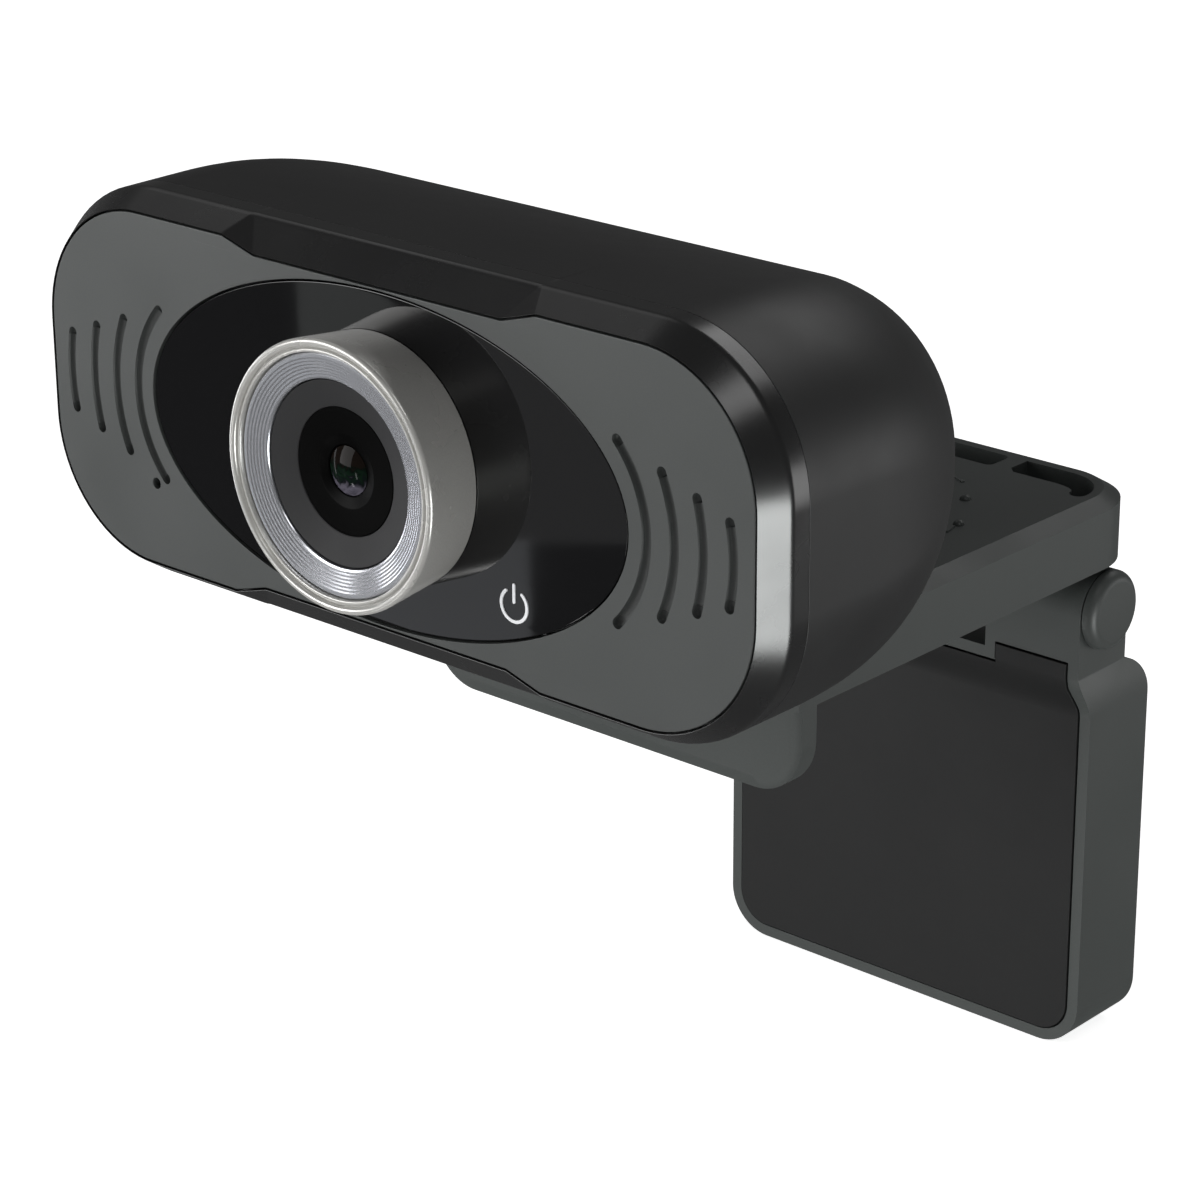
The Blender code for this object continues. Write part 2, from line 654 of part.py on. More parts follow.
def make_rear_housing():
    shell_front = BEZEL_BACK + FINE_GAP
    housing = cut(dome(shell_front, 0.0), dome(shell_front - 1, HEAD_WALL))
    cheek_half = TILT_PIN_HALF + 1.6
    cheeks = block((-cheek_half, TILT_Y - 8.5, TILT_Z - 10), (cheek_half, HEAD_BACK + 1, TILT_Z + 8.5))
    housing = join(housing, keep_common(cheeks, dome(shell_front, 0.3)))
    for x, z in screw_places():
        end = shell_front + 12.0
        housing = join(housing, rod(BOSS_R, "Y", shell_front, end, (x, z), ROUND_STEPS))
        pilot_r = SCREW_SHANK_R + SEAT_GAP
        housing = cut(housing, rod(pilot_r, "Y", shell_front - 1, end - 1.5, (x, z), SMALL_STEPS))
    pocket = rod(TILT_BARREL_R + RUN_GAP, "X", -POCKET_HALF_X, POCKET_HALF_X, (TILT_Y, TILT_Z))
    reach = 24.0
    up = math.radians(TILT_SLOT_DEG)
    wedge = [(TILT_Y, TILT_Z), (TILT_Y, TILT_Z - reach), (TILT_Y + reach, TILT_Z - reach),
             (TILT_Y + reach, TILT_Z + reach * math.tan(up))]
    slot = plate([wedge], "X", -POCKET_HALF_X, POCKET_HALF_X)
    pin_reach = TILT_PIN_HALF + 0.4
    pin_hole = rod(TILT_PIN_R + SEAT_GAP, "X", -pin_reach, pin_reach, (TILT_Y, TILT_Z), ROUND_STEPS)
    housing = cut(housing, pocket, slot, pin_hole)
    inside = HEAD_BACK - HEAD_WALL - SEAT_GAP
    flange_room = inside - GROMMET_FLANGE_T - 2 * SEAT_GAP
    place = (0, LENS_Z + 1.5)
    seat = rod(GROMMET_FLANGE_R + SEAT_GAP, "Y", flange_room, inside, place, ROUND_STEPS)
    return cut(housing, seat, rod(GROMMET_NECK_R + FINE_GAP, "Y", HEAD_BACK - 4, HEAD_BACK + 1, place, ROUND_STEPS))


def make_cable_grommet():
    """The soft collar that the cord leaves through, with a flange outside and one inside."""
    inner = HEAD_BACK - HEAD_WALL - 2 * SEAT_GAP
    outer = HEAD_BACK + FINE_GAP
    end = outer + GROMMET_LENGTH
    flange_front = inner - GROMMET_FLANGE_T
    profile = [(GROMMET_BORE_R, flange_front), (GROMMET_FLANGE_R, flange_front), (GROMMET_FLANGE_R, inner),
               (GROMMET_NECK_R, inner), (GROMMET_NECK_R, outer), (GROMMET_R, outer), (GROMMET_R, outer + 1.2),
               (GROMMET_BORE_R + 1.0, end), (GROMMET_BORE_R, end)]
    return turned(profile, "Y", (0, LENS_Z + 1.5), ROUND_STEPS)


def make_housing_screw(place):
    head_front = WEB_FRONT + 0.5
    head = rod(SCREW_HEAD_R, "Y", head_front, head_front + 1.4, place, ROUND_STEPS)
    return join(head, rod(SCREW_SHANK_R, "Y", head_front + 1, head_front + SCREW_LENGTH, place, SMALL_STEPS))


def board_screw_places():
    return [(sx * (BOARD_HALF_W - 3), LENS_Z + sz * (BOARD_HALF_H - 3)) for sx, sz in ((-1, 1), (1, -1))]


def make_camera_board():
    outline = rounded_rectangle(-BOARD_HALF_W, BOARD_HALF_W, -BOARD_HALF_H, BOARD_HALF_H, (2, 2, 2, 2))
    board = plate([at_lens(outline)], "Y", BOARD_Y, BOARD_Y + BOARD_T)
    for place in board_screw_places():
        hole_r = SCREW_SHANK_R + SEAT_GAP
        board = cut(board, rod(hole_r, "Y", BOARD_Y - 1, BOARD_Y + BOARD_T + 1, place, SMALL_STEPS))
    return board


def make_board_screw(place):
    head = rod(SCREW_HEAD_R, "Y", BOARD_Y + BOARD_T + 0.2, BOARD_Y + BOARD_T + 1.4, place, ROUND_STEPS)
    return join(head, rod(SCREW_SHANK_R, "Y", BOARD_Y - 3.5, BOARD_Y + BOARD_T + 0.7, place, SMALL_STEPS))


def make_board_standoff(place):
    post = rod(2.6, "Y", WEB_BACK + SEAT_GAP, BOARD_Y - 0.1, place, ROUND_STEPS)
    return cut(post, rod(SCREW_SHANK_R + SEAT_GAP, "Y", BOARD_Y - 4.5, BOARD_Y + 1, place, SMALL_STEPS))


def make_microphone():
    place = (MIC_X, LENS_Z - MIC_DROP)
    return rod(2.0, "Y", WEB_BACK + 1.6, WEB_BACK + 3.1, place, ROUND_STEPS)


def make_microphone_boot():
    """A rubber cup round the microphone that seals it to the port in the front."""
    front = WEB_BACK + 0.1
    profile = [(0.6, front), (2.9, front), (2.9, front + 3.6), (2.12, front + 3.6), (2.12, front + 1.35),
               (0.6, front + 1.35)]
    return turned(profile, "Y", (MIC_X, LENS_Z - MIC_DROP), ROUND_STEPS)


def chip(middle_x, middle_z, half_w, half_h, front, back):
    low = (middle_x - half_w, front, LENS_Z + middle_z - half_h)
    return block(low, (middle_x + half_w, back, LENS_Z + middle_z + half_h))


# ---- swivel and tilt --------------------------------------------------------------------
def make_swivel_arm():
    """Turntable, hub, arm and tilt barrel, moulded as one piece."""
    floor = TURNTABLE_TOP - TURNTABLE_T
    edge = 0.5
    profile = [(0.0, TURNTABLE_TOP), (TURNTABLE_R - edge, TURNTABLE_TOP), (TURNTABLE_R, TURNTABLE_TOP - edge),
               (TURNTABLE_R, floor), (HUB_R, floor), (HUB_R, HUB_WEB_BOTTOM - 0.6), (0.0, HUB_WEB_BOTTOM - 0.6)]
    table = turned(profile, "Z", (0, 0), TURN_STEPS)
    barrel = rod(TILT_BARREL_R, "X", -TILT_BARREL_HALF, TILT_BARREL_HALF, (TILT_Y, TILT_Z))
    root_y = -(TURNTABLE_R - 3.0)
    root = Vector((root_y + ARM_T, TURNTABLE_TOP))
    axis = Vector((TILT_Y, TILT_Z))
    along = (root - axis).normalized()
    across = Vector((-along.y, along.x)) * (ARM_T / 2)
    sunk = TURNTABLE_TOP - 0.7
    arm_outline = [tuple(axis + across), (root_y + 2 * ARM_T, sunk), (root_y, sunk), tuple(axis - across)]
    arm = plate([arm_outline], "X", -TILT_BARREL_HALF, TILT_BARREL_HALF)
    swivel = join(table, barrel, arm)
    reach = TILT_BARREL_HALF + 1
    pin_hole = rod(TILT_PIN_R + FINE_GAP, "X", -reach, reach, (TILT_Y, TILT_Z), ROUND_STEPS)
    pilot_r = SCREW_SHANK_R + SEAT_GAP
    pilot = rod(pilot_r, "Z", HUB_WEB_BOTTOM - 2, TURNTABLE_TOP - 1.2, (0, 0), SMALL_STEPS)
    return cut(swivel, pin_hole, pilot)


def make_washer(inner_r, outer_r, axis, low, high, across):
    profile = [(outer_r, high), (outer_r, low), (inner_r, low), (inner_r, high)]
    return turned(profile, axis, across, ROUND_STEPS)


def make_swivel_screw():
    head_top = HUB_WEB_BOTTOM - 0.6 - 0.9 - SEAT_GAP
    head = rod(3.0, "Z", head_top - 1.1, head_top, (0, 0), ROUND_STEPS)
    return join(head, rod(SCREW_SHANK_R, "Z", head_top - 0.5, TURNTABLE_TOP - 1.5, (0, 0), SMALL_STEPS))


# ---- clip platform ----------------------------------------------------------------------
def platform_section(inset, z):
    radius = PLATFORM_CORNER_R - inset
    half = CLIP_HALF_W - inset
    outline = rounded_rectangle(-half, half, PLATFORM_FRONT + inset, PLATFORM_BACK - inset, (radius, radius, 0, 0))
    return [(x, y, z) for x, y in outline]


def lip_section(inset, y):
    radius = LIP_CORNER_R - inset
    half = CLIP_HALF_W - inset
    top = PLATFORM_TOP - TOP_CHAMFER_H
    outline = rounded_rectangle(-half, half, LIP_BOTTOM + inset, top, (0, 0, radius, radius))
    return [(x, y, z) for x, z in outline]


def pocket_outlines():
    """Sink pockets along the back of the platform: one in the middle, one in each corner."""
    back = PLATFORM_BACK - TOP_CHAMFER_W - POCKET_RIM
    front = back - POCKET_W
    rib_in, rib_out = POCKET_RIB
    corner_r = PLATFORM_CORNER_R - TOP_CHAMFER_W - POCKET_RIM
    side = CLIP_HALF_W - POCKET_END_FROM_SIDE
    centre = (side - corner_r, back - corner_r)
    end_r = POCKET_W / 4
    corner = arc(centre, corner_r, 90, 0, BEND_STEPS)
    corner += arc((side - end_r, centre[1]), end_r, 0, -180, BEND_STEPS)[1:]
    bend = (side - 2 * end_r, centre[1])
    for i in range(1, BEND_STEPS + 1):
        turn = math.pi / 2 * i / BEND_STEPS
        corner.append((bend[0] - POCKET_BEND * (1 - math.cos(turn)), bend[1] + (front - bend[1]) * math.sin(turn)))
    corner += [(rib_out + 1.0, front), (rib_out, front + 1.0), (rib_out, back)]
    middle = rounded_rectangle(-rib_in, rib_in, front, back, (0.9, 0.9, 0.9, 0.9))
    return [middle, corner, [(-x, y) for x, y in reversed(corner)]]


def make_clip_platform():
    chamfer_start = PLATFORM_TOP - TOP_CHAMFER_H
    platform = loft([platform_section(0.0, UNDERSIDE_Z), platform_section(0.0, chamfer_start),
                     platform_section(TOP_CHAMFER_W, PLATFORM_TOP)])
    lip = loft([lip_section(LIP_CHAMFER_W, PLATFORM_FRONT), lip_section(0.0, PLATFORM_FRONT + LIP_CHAMFER_DEPTH),
                lip_section(0.0, LIP_BACK)])
    platform = join(platform, lip)
    knuckle = rod(HINGE_R, "X", -KNUCKLE_HALF, KNUCKLE_HALF, (HINGE_Y, HINGE_Z))
    neck = block((-KNUCKLE_HALF, HINGE_Y - HINGE_R, HINGE_Z), (KNUCKLE_HALF, HINGE_Y + HINGE_R, UNDERSIDE_Z + 1))
    platform = join(platform, join(knuckle, neck))
    reach = KNUCKLE_HALF + 1
    platform = cut(platform, rod(HINGE_PIN_R + FINE_GAP, "X", -reach, reach, (HINGE_Y, HINGE_Z), ROUND_STEPS))
    platform = cut(platform, rod(TURNTABLE_R + RUN_GAP, "Z", TURNTABLE_FLOOR, PLATFORM_TOP + 1, (0, 0), TURN_STEPS))
    platform = cut(platform, rod(HUB_R + RUN_GAP, "Z", HUB_WEB_BOTTOM - 1, TURNTABLE_FLOOR + 1, (0, 0)))
    platform = cut(platform, rod(HUB_CAVITY_R, "Z", UNDERSIDE_Z - 1, HUB_WEB_BOTTOM, (0, 0)))
    for outline in pocket_outlines():
        platform = cut(platform, plate([outline], "Z", PLATFORM_TOP - POCKET_DEPTH, PLATFORM_TOP + 1))
    half, front, back = PLATFORM_PAD
    gap = SEAT_GAP
    seat = block((-half - gap, front - gap, UNDERSIDE_Z - 1), (half + gap, back + gap, PAD_T + gap))
    lip_half = LIP_PAD_HALF_W + gap
    lip_seat_y = LIP_BACK + PAD_PROUD - LIP_PAD_T - gap
    lip_seat = block((-lip_half, lip_seat_y, lip_pad_low() - gap), (lip_half, LIP_BACK + 1, lip_pad_high() + gap))
    platform = cut(platform, seat, lip_seat)
    for degrees in DETENT_DEGREES:
        for mirror in (1, -1):
            angle = math.radians(degrees)
            place = (mirror * DETENT_R * math.cos(angle), DETENT_R * math.sin(angle))
            dimple = rod(DETENT_BALL_R, "Z", PLATFORM_TOP - 0.35, PLATFORM_TOP + 0.5, place, SMALL_STEPS)
            platform = cut(platform, dimple)
    return platform


def lip_pad_low():
    return LIP_BOTTOM + 1.8


def lip_pad_high():
    return UNDERSIDE_Z - 1.6


def make_platform_pad():
    half, front, back = PLATFORM_PAD
    pad = rounded_rectangle(-half, half, front, back, (2, 2, 2, 2))
    return plate([pad], "Z", 0.0, PAD_T)


def make_lip_pad():
    corner_radii = (1.5, 1.5, 1.5, 1.5)
    outline = rounded_rectangle(-LIP_PAD_HALF_W, LIP_PAD_HALF_W, lip_pad_low(), lip_pad_high(), corner_radii)
    back = LIP_BACK + PAD_PROUD
    return plate([outline], "Y", back - LIP_PAD_T, back)


# ---- clip foot --------------------------------------------------------------------------
def front_profile(offset, top, bottom):
    """The foot's front face in side view, top to bottom, moved back by offset."""
    ear_front = HINGE_Y - HINGE_R
    points = [(ear_front + offset, top)]
    steps = 8
    for i in range(steps + 1):
        share = i / steps
        blend = share * share * (3 - 2 * share)
        y = ear_front + (FOOT_FACE_Y - ear_front) * blend
        points.append((y + offset, SHOULDER_Z - STEP_RUN * share))
    points.append((FOOT_FACE_Y + offset, bottom))
    return points


def foot_side_outline():
    """The foot from the side: round hinge ends, eased front, round shoulder behind."""
    back_r = 3.0
    ear_back = HINGE_Y + HINGE_R
    shoulder_y = FOOT_BACK_Y - SHOULDER_R
    meets = math.degrees(math.acos(max((ear_back - shoulder_y) / SHOULDER_R, 0.0)))
    points = arc((HINGE_Y, HINGE_Z), HINGE_R, 0, 180, 2 * BEND_STEPS)
    points += front_profile(0.0, HINGE_Z, FOOT_BOTTOM)[1:]
    points += arc((FOOT_BACK_Y - back_r, FOOT_BOTTOM + back_r), back_r, 270, 360)
    points += arc((shoulder_y, SHOULDER_Z - SHOULDER_R), SHOULDER_R, 0, meets)
    return points + ([(ear_back, SHOULDER_Z)] if meets == 90 else [])


def foot_front_outline():
    """The foot from the front: a rounded plate with two ears and the notch between them."""
    top = HINGE_Z + HINGE_R + 1
    corner = (FOOT_HALF_W - FOOT_CORNER_R, FOOT_BOTTOM + FOOT_CORNER_R)
    right = arc(corner, FOOT_CORNER_R, 270, 360)
    swell = FOOT_HALF_W - EAR_OUT_X
    for i in range(BEND_STEPS + 1):
        share = i / BEND_STEPS
        right.append((FOOT_HALF_W - swell * share * share, SHOULDER_Z - SHOULDER_R * (1 - share)))
    right += [(EAR_OUT_X, top), (EAR_IN_X, top)]
    right.append((EAR_IN_X, HINGE_Z - NOTCH_BELOW))
    return right + [(-x, z) for x, z in reversed(right)]


def foot_pad_outline(grow=0.0):
    """The pad keeps a margin inside the foot's edge, with a tab up each ear."""
    half = FOOT_HALF_W - FOOT_PAD_MARGIN + grow
    tab_out = half - EAR_INSET
    tab_in = EAR_IN_X + FOOT_PAD_MARGIN - grow
    bottom = FOOT_BOTTOM + FOOT_PAD_MARGIN - grow
    tab_top = HINGE_Z - FOOT_PAD_TAB_BELOW + grow
    middle_top = HINGE_Z - NOTCH_BELOW - FOOT_PAD_MARGIN + grow
    radius = FOOT_CORNER_R - FOOT_PAD_MARGIN + grow
    right = arc((half - radius, bottom + radius), radius, 270, 360)
    right += [(half, SHOULDER_Z - 4.6), (tab_out + 0.45, SHOULDER_Z - 3.2), (tab_out, SHOULDER_Z - 1.6)]
    right += [(tab_out, tab_top), (tab_in, tab_top), (tab_in, middle_top)]
    return right + [(-x, z) for x, z in reversed(right)]


def foot_pad_strip(front_offset, back_offset):
    top = HINGE_Z
    bottom = FOOT_BOTTOM
    return front_profile(front_offset, top, bottom) + list(reversed(front_profile(back_offset, top, bottom)))


def make_clip_foot():
    foot = plate([foot_side_outline()], "X", -FOOT_HALF_W - 1, FOOT_HALF_W + 1)
    foot = keep_common(foot, plate([foot_front_outline()], "Y", HINGE_Y - HINGE_R - 1, FOOT_BACK_Y + 1))
    reach = FOOT_HALF_W + 1
    strip = plate([foot_pad_strip(-1.0, FOOT_PAD_T - FOOT_PAD_PROUD + FINE_GAP)], "X", -reach, reach)
    seat = keep_common(plate([foot_pad_outline(FINE_GAP)], "Y", HINGE_Y - 20, HINGE_Y + 20), strip)
    foot = cut(foot, seat, solver="MANIFOLD")
    return cut(foot, rod(HINGE_PIN_R + FINE_GAP, "X", -reach, reach, (HINGE_Y, HINGE_Z), ROUND_STEPS))


def make_foot_pad():
    reach = FOOT_HALF_W + 1
    strip = plate([foot_pad_strip(-FOOT_PAD_PROUD, FOOT_PAD_T - FOOT_PAD_PROUD)], "X", -reach, reach)
    return keep_common(plate([foot_pad_outline()], "Y", HINGE_Y - 20, HINGE_Y + 20), strip)


def make_hinge_cap(side):
    """A round cover on the end of the hinge pin, with a rounded rim."""
    start = EAR_OUT_X + 0.2
    end = start + CAP_T
    rim = arc((HINGE_R - CAP_FILLET, end - CAP_FILLET), CAP_FILLET, 90, 0, CORNER_STEPS)
    profile = [(0.0, end)] + rim + [(HINGE_R, start), (0.0, start)]
    profile = [(r, side * x) for r, x in profile]
    return turned(profile, "X", (HINGE_Y, HINGE_Z))


# ---- assembly ---------------------------------------------------------------------------
def build_head(head):
    dress(make_front_bezel(), "front_bezel", "shell_black", head)
    dress(make_face_plate(), "face_plate", "face_grey", head)
    dress(make_face_panel(), "face_panel", "gloss_black", head)
    dress(make_light_guide(), "power_light_guide", "light_white", head)
    dress(make_rear_housing(), "rear_housing", "shell_black", head)
    dress(make_cable_grommet(), "cable_grommet", "rubber", head)
    dress(make_lens_ring(), "lens_ring", "ring_metal", head)
    dress(make_ring_insert(), "ring_insert", "ring_metal", head)
    dress(make_lens_annulus(), "lens_annulus", "dark_trim", head)
    dress(make_lens_disc(), "lens_disc", "gloss_black", head)
    edge = RING_FRONT_Y + ANNULUS_SETBACK + 0.5
    dress(lens_solid(LENS_R, edge, 0.7, 0.9), "front_lens", "lens_glass", head)
    dress(make_lens_barrel(), "lens_barrel", "chip_black", head)
    inner_edge = RING_FRONT_Y + 3.9 + SEAT_GAP + 3.4
    dress(lens_solid(BARREL_R - 1.4, inner_edge, 0.8, 1.2), "rear_lens", "lens_glass", head)
    dress(make_lens_holder(), "lens_holder", "chip_black", head)
    dress(make_camera_board(), "camera_board", "board_green", head)
    sensor_back = BOARD_Y - 0.1
    dress(chip(0, 0, 3.6, 3.6, sensor_back - 1.1, sensor_back), "image_sensor", "chip_black", head)
    dress(chip(0, 0, 3.9, 3.9, sensor_back - 2.0, sensor_back - 1.5), "infrared_filter", "lens_glass", head)
    chip_front = BOARD_Y + BOARD_T + 0.1
    dress(chip(4, 1, 5.0, 5.0, chip_front, chip_front + 1.2), "image_processor", "chip_black", head)
    dress(chip(-18, 2, 4.5, 2.6, chip_front, chip_front + 3.6), "cord_connector", "light_white", head)
    lamp_back = BOARD_Y - 0.1
    dress(chip(SYMBOL_X, -SYMBOL_DROP, 1.4, 0.8, lamp_back - 0.9, lamp_back), "status_lamp", "light_white", head)
    dress(make_microphone(), "microphone", "steel", head)
    dress(make_microphone_boot(), "microphone_boot", "rubber", head)
    for number, place in enumerate(screw_places(), 1):
        dress(make_housing_screw(place), f"housing_screw_{number}", "steel", head)
    for number, place in enumerate(board_screw_places(), 1):
        dress(make_board_screw(place), f"board_screw_{number}", "steel", head)
        dress(make_board_standoff(place), f"board_standoff_{number}", "shell_black", head)


def build_swivel(swivel):
    dress(make_swivel_arm(), "swivel_arm", "shell_black", swivel)
    pin = rod(TILT_PIN_R, "X", -TILT_PIN_HALF, TILT_PIN_HALF, (TILT_Y, TILT_Z), ROUND_STEPS)
    dress(pin, "tilt_pin", "steel", swivel)
    start = TILT_BARREL_HALF + SEAT_GAP
    for side, name in ((-1, "left"), (1, "right")):
        low, high = sorted((side * start, side * (start + WASHER_T)))
        washer = make_washer(TILT_PIN_R + 0.2, TILT_BARREL_R - 0.4, "X", low, high, (TILT_Y, TILT_Z))
        dress(washer, f"tilt_washer_{name}", "steel", swivel)
    top = HUB_WEB_BOTTOM - 0.6 - 0.1
    washer = make_washer(SCREW_SHANK_R + 0.3, HUB_CAVITY_R - 1.0, "Z", top - 0.8, top, (0, 0))
    dress(washer, "swivel_washer", "steel", swivel)
    dress(make_swivel_screw(), "swivel_screw", "steel", swivel)


def build_clip():
    dress(make_clip_platform(), "clip_platform", "clip_grey")
    dress(make_platform_pad(), "platform_pad", "rubber")
    dress(make_lip_pad(), "lip_pad", "rubber")


def build_foot(foot):
    dress(make_clip_foot(), "clip_foot", "clip_grey", foot)
    dress(make_foot_pad(), "foot_pad", "rubber", foot)
    pin_half = EAR_OUT_X
    pin = rod(HINGE_PIN_R, "X", -pin_half, pin_half, (HINGE_Y, HINGE_Z), ROUND_STEPS)
    dress(pin, "hinge_pin", "steel", foot)
    for side, name in ((-1, "left"), (1, "right")):
        dress(make_hinge_cap(side), f"hinge_cap_{name}", "clip_grey", foot)
        low, high = sorted((side * (KNUCKLE_HALF + 0.15), side * (EAR_IN_X - 0.15)))
        washer = make_washer(HINGE_PIN_R + 0.2, HINGE_R - 0.5, "X", low, high, (HINGE_Y, HINGE_Z))
        dress(washer, f"hinge_washer_{name}", "steel", foot)


def main():
    swivel = joint_marker("swivel_axis", (0, 0, PLATFORM_TOP))
    head = joint_marker("tilt_axis", (0, TILT_Y, TILT_Z))
    foot = joint_marker("foot_axis", (0, HINGE_Y, HINGE_Z))
    build_clip()
    build_foot(foot)
    build_swivel(swivel)
    build_head(head)
    head.parent = swivel
    head.matrix_parent_inverse = swivel.matrix_world.inverted()


main()
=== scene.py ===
"""Looks for the clip-on webcam: fine meshes for what shows, materials, floor, lights and camera."""
import math

import bmesh
import bpy
from mathutils import Matrix, Vector
from mathutils.geometry import tessellate_polygon


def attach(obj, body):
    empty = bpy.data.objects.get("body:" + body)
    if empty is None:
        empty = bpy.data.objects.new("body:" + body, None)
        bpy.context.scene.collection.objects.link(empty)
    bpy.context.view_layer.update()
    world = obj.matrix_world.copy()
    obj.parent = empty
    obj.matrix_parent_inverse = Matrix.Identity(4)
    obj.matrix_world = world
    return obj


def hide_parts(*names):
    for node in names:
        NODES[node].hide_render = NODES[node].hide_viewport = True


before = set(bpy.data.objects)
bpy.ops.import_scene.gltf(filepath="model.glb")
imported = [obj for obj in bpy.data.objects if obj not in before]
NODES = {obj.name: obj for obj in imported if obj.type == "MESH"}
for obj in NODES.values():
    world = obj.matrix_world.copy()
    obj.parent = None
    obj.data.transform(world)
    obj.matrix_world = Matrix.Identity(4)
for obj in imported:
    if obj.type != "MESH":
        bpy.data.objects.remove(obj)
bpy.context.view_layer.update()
MM = 0.001

# ---- sizes, in millimetres --------------------------------------------------------------
HEAD_HALF_W = 52.0
HEAD_HALF_H = 21.9
HEAD_CORNER_R = 16.5
HEAD_WALL = 1.8
CHAMFER_W = 1.9
CHAMFER_DEPTH = 3.0
EDGE_DIP = 1.35
DIP_FLAT_X = 17.5
DIP_END_X = 22.1
DIP_APEX_X = 20.3
BACK_HALF_W = 30.0
BACK_HALF_H = 5.9
DOME_SIDE_RUN = 30.0
DOME_TOP_RUN = 34.3
LENS_Z = 32.1
FACE_Y = -68.3
HEAD_BACK = -22.3
BEZEL_BACK = -62.8
PLATE_BACK = -66.8
WEB_FRONT = -66.5
WEB_BACK = -65.0
PLATE_INSET = 0.3
RECESS_INSET = 0.06
SEAM_GAP = 0.05
PANEL_HALF_W = 33.8
PANEL_HALF_H = 17.9
PANEL_Y = FACE_Y + 0.2
PANEL_GAP = 0.24
SPIGOT_R = 12.2
SLOT_W = 1.2
SLOTS = (               # middle x, half height, bow
    (36.35, 9.5, 3.8),
    (39.85, 7.45, 1.6),
    (43.45, 5.8, 0.75),
    (47.2, 4.3, 0.45),
)
MIC_X = -34.2
MIC_DROP = 10.4
MIC_HOLE_R = 0.62
SYMBOL_X = 18.65
SYMBOL_DROP = 11.2
SYMBOL_R = 1.75
SYMBOL_STROKE = 0.34
RING_FRONT_Y = -75.6
RING_FRONT_R = 14.5
RING_BACK_R = 13.75
RING_BORE_R = 13.0
CONE_IN_R = 10.0
ANNULUS_IN_R = 6.85
LENS_R = 2.64
TILT_Y = -30.0
TILT_Z = 18.6
TILT_BARREL_R = 5.0
TILT_BARREL_HALF = 8.0
TILT_PIN_R = 1.5
TILT_PIN_HALF = 15.0
TILT_SLOT_DEG = 42.0
TILT_POCKET_HALF = 9.1
TURNTABLE_R = 17.0
TURNTABLE_TOP = 9.7
TURNTABLE_T = 2.7
ARM_T = 5.2
CLIP_HALF_W = 27.5
UNDERSIDE_Z = 0.4
PLATFORM_TOP = 8.9
PLATFORM_END = 33.2
PLATFORM_CORNER_R = 9.0
TOP_CHAMFER_W = 2.0
TOP_CHAMFER_H = 1.2
LIP_BACK = -30.1
LIP_BOTTOM = -10.3
LIP_CORNER_R = 6.5
LIP_CHAMFER_W = 1.5
LIP_CHAMFER_DEPTH = 0.6
POCKET_DEPTH = 4.4
POCKET_W = 4.3
POCKET_BEND = 3.4
POCKET_RIM = 1.4
POCKET_RIB = (9.6, 12.0)
POCKET_END_FROM_SIDE = 3.1
DETENT_R = 20.1
DETENT_BALL_R = 0.72
DETENT_DEGREES = (19.0, 44.0)
MARKS = ((21.4, 60.0, 66.5), (19.8, 10.0, 16.5))    # radius, start, end in degrees
MARK_HALF_W = 0.22
HINGE_Y = 25.7
HINGE_Z = -5.2
HINGE_R = 4.9
HINGE_PIN_R = 1.6
KNUCKLE_HALF = 12.4
EAR_IN_X = 13.1
EAR_OUT_X = 26.7
CAP_T = 1.6
CAP_FILLET = 1.3
FOOT_HALF_W = 27.5
FOOT_FACE_Y = 22.6
FOOT_BACK_Y = 34.8
FOOT_BOTTOM = -62.9
FOOT_CORNER_R = 5.8
SHOULDER_Z = -12.9
SHOULDER_R = 5.4
NOTCH_BELOW = 6.8
STEP_RUN = 5.8
FOOT_PAD_MARGIN = 1.6
FOOT_PAD_T = 1.4
FOOT_PAD_PROUD = 0.2
FOOT_PAD_TAB_BELOW = 6.0
FINE_GAP = 0.12
SEAT_GAP = 0.3
RUN_GAP = 0.35
TURNTABLE_FLOOR = TURNTABLE_TOP - TURNTABLE_T - RUN_GAP
HUB_R = 5.5
HUB_WEB_BOTTOM = TURNTABLE_FLOOR - 1.8
HUB_CAVITY_R = 9.5
PLATFORM_PAD = (20.0, -26.0, 13.0)
PAD_T = 1.3
PAD_PROUD = 0.4
LIP_PAD_HALF_W = 21.0
LIP_PAD_T = 0.8
LIP_PAD_LOW = LIP_BOTTOM + 1.8
LIP_PAD_HIGH = UNDERSIDE_Z - 1.6
EAR_INSET = 0.8
GROMMET_R = 4.4
GROMMET_RISE = 1.5       # above the lens axis
GROMMET_LENGTH = 4.0


# ---- camera -----------------------------------------------------------------------------
def add_camera():
    data = bpy.data.cameras.new("camera")
    data.sensor_width = 36.0
    data.lens = 113.49
    camera = bpy.data.objects.new("camera", data)
    bpy.context.scene.collection.objects.link(camera)
    right = Vector((0.74797, 0.66371, -0.00545))
    forward = Vector((-0.61998, 0.69572, -0.36276))
    up = right.cross(forward)
    turn = Matrix((right, up, -forward)).transposed().to_4x4()
    camera.matrix_world = Matrix.Translation((0.26013, -0.32619, 0.15896)) @ turn
    bpy.context.scene.camera = camera


# ---- mesh kit ---------------------------------------------------------------------------
AXIS_TURN = {
    "X": Matrix.Rotation(math.radians(90), 4, "Y"),
    "Y": Matrix.Rotation(math.radians(-90), 4, "X"),
    "Z": Matrix.Identity(4),
}


def object_from(bm, name):
    bmesh.ops.remove_doubles(bm, verts=bm.verts, dist=1e-6)
    bmesh.ops.recalc_face_normals(bm, faces=bm.faces)
    mesh = bpy.data.meshes.new(name)
    bm.to_mesh(mesh)
    bm.free()
    obj = bpy.data.objects.new(name, mesh)
    bpy.context.scene.collection.objects.link(obj)
    return obj


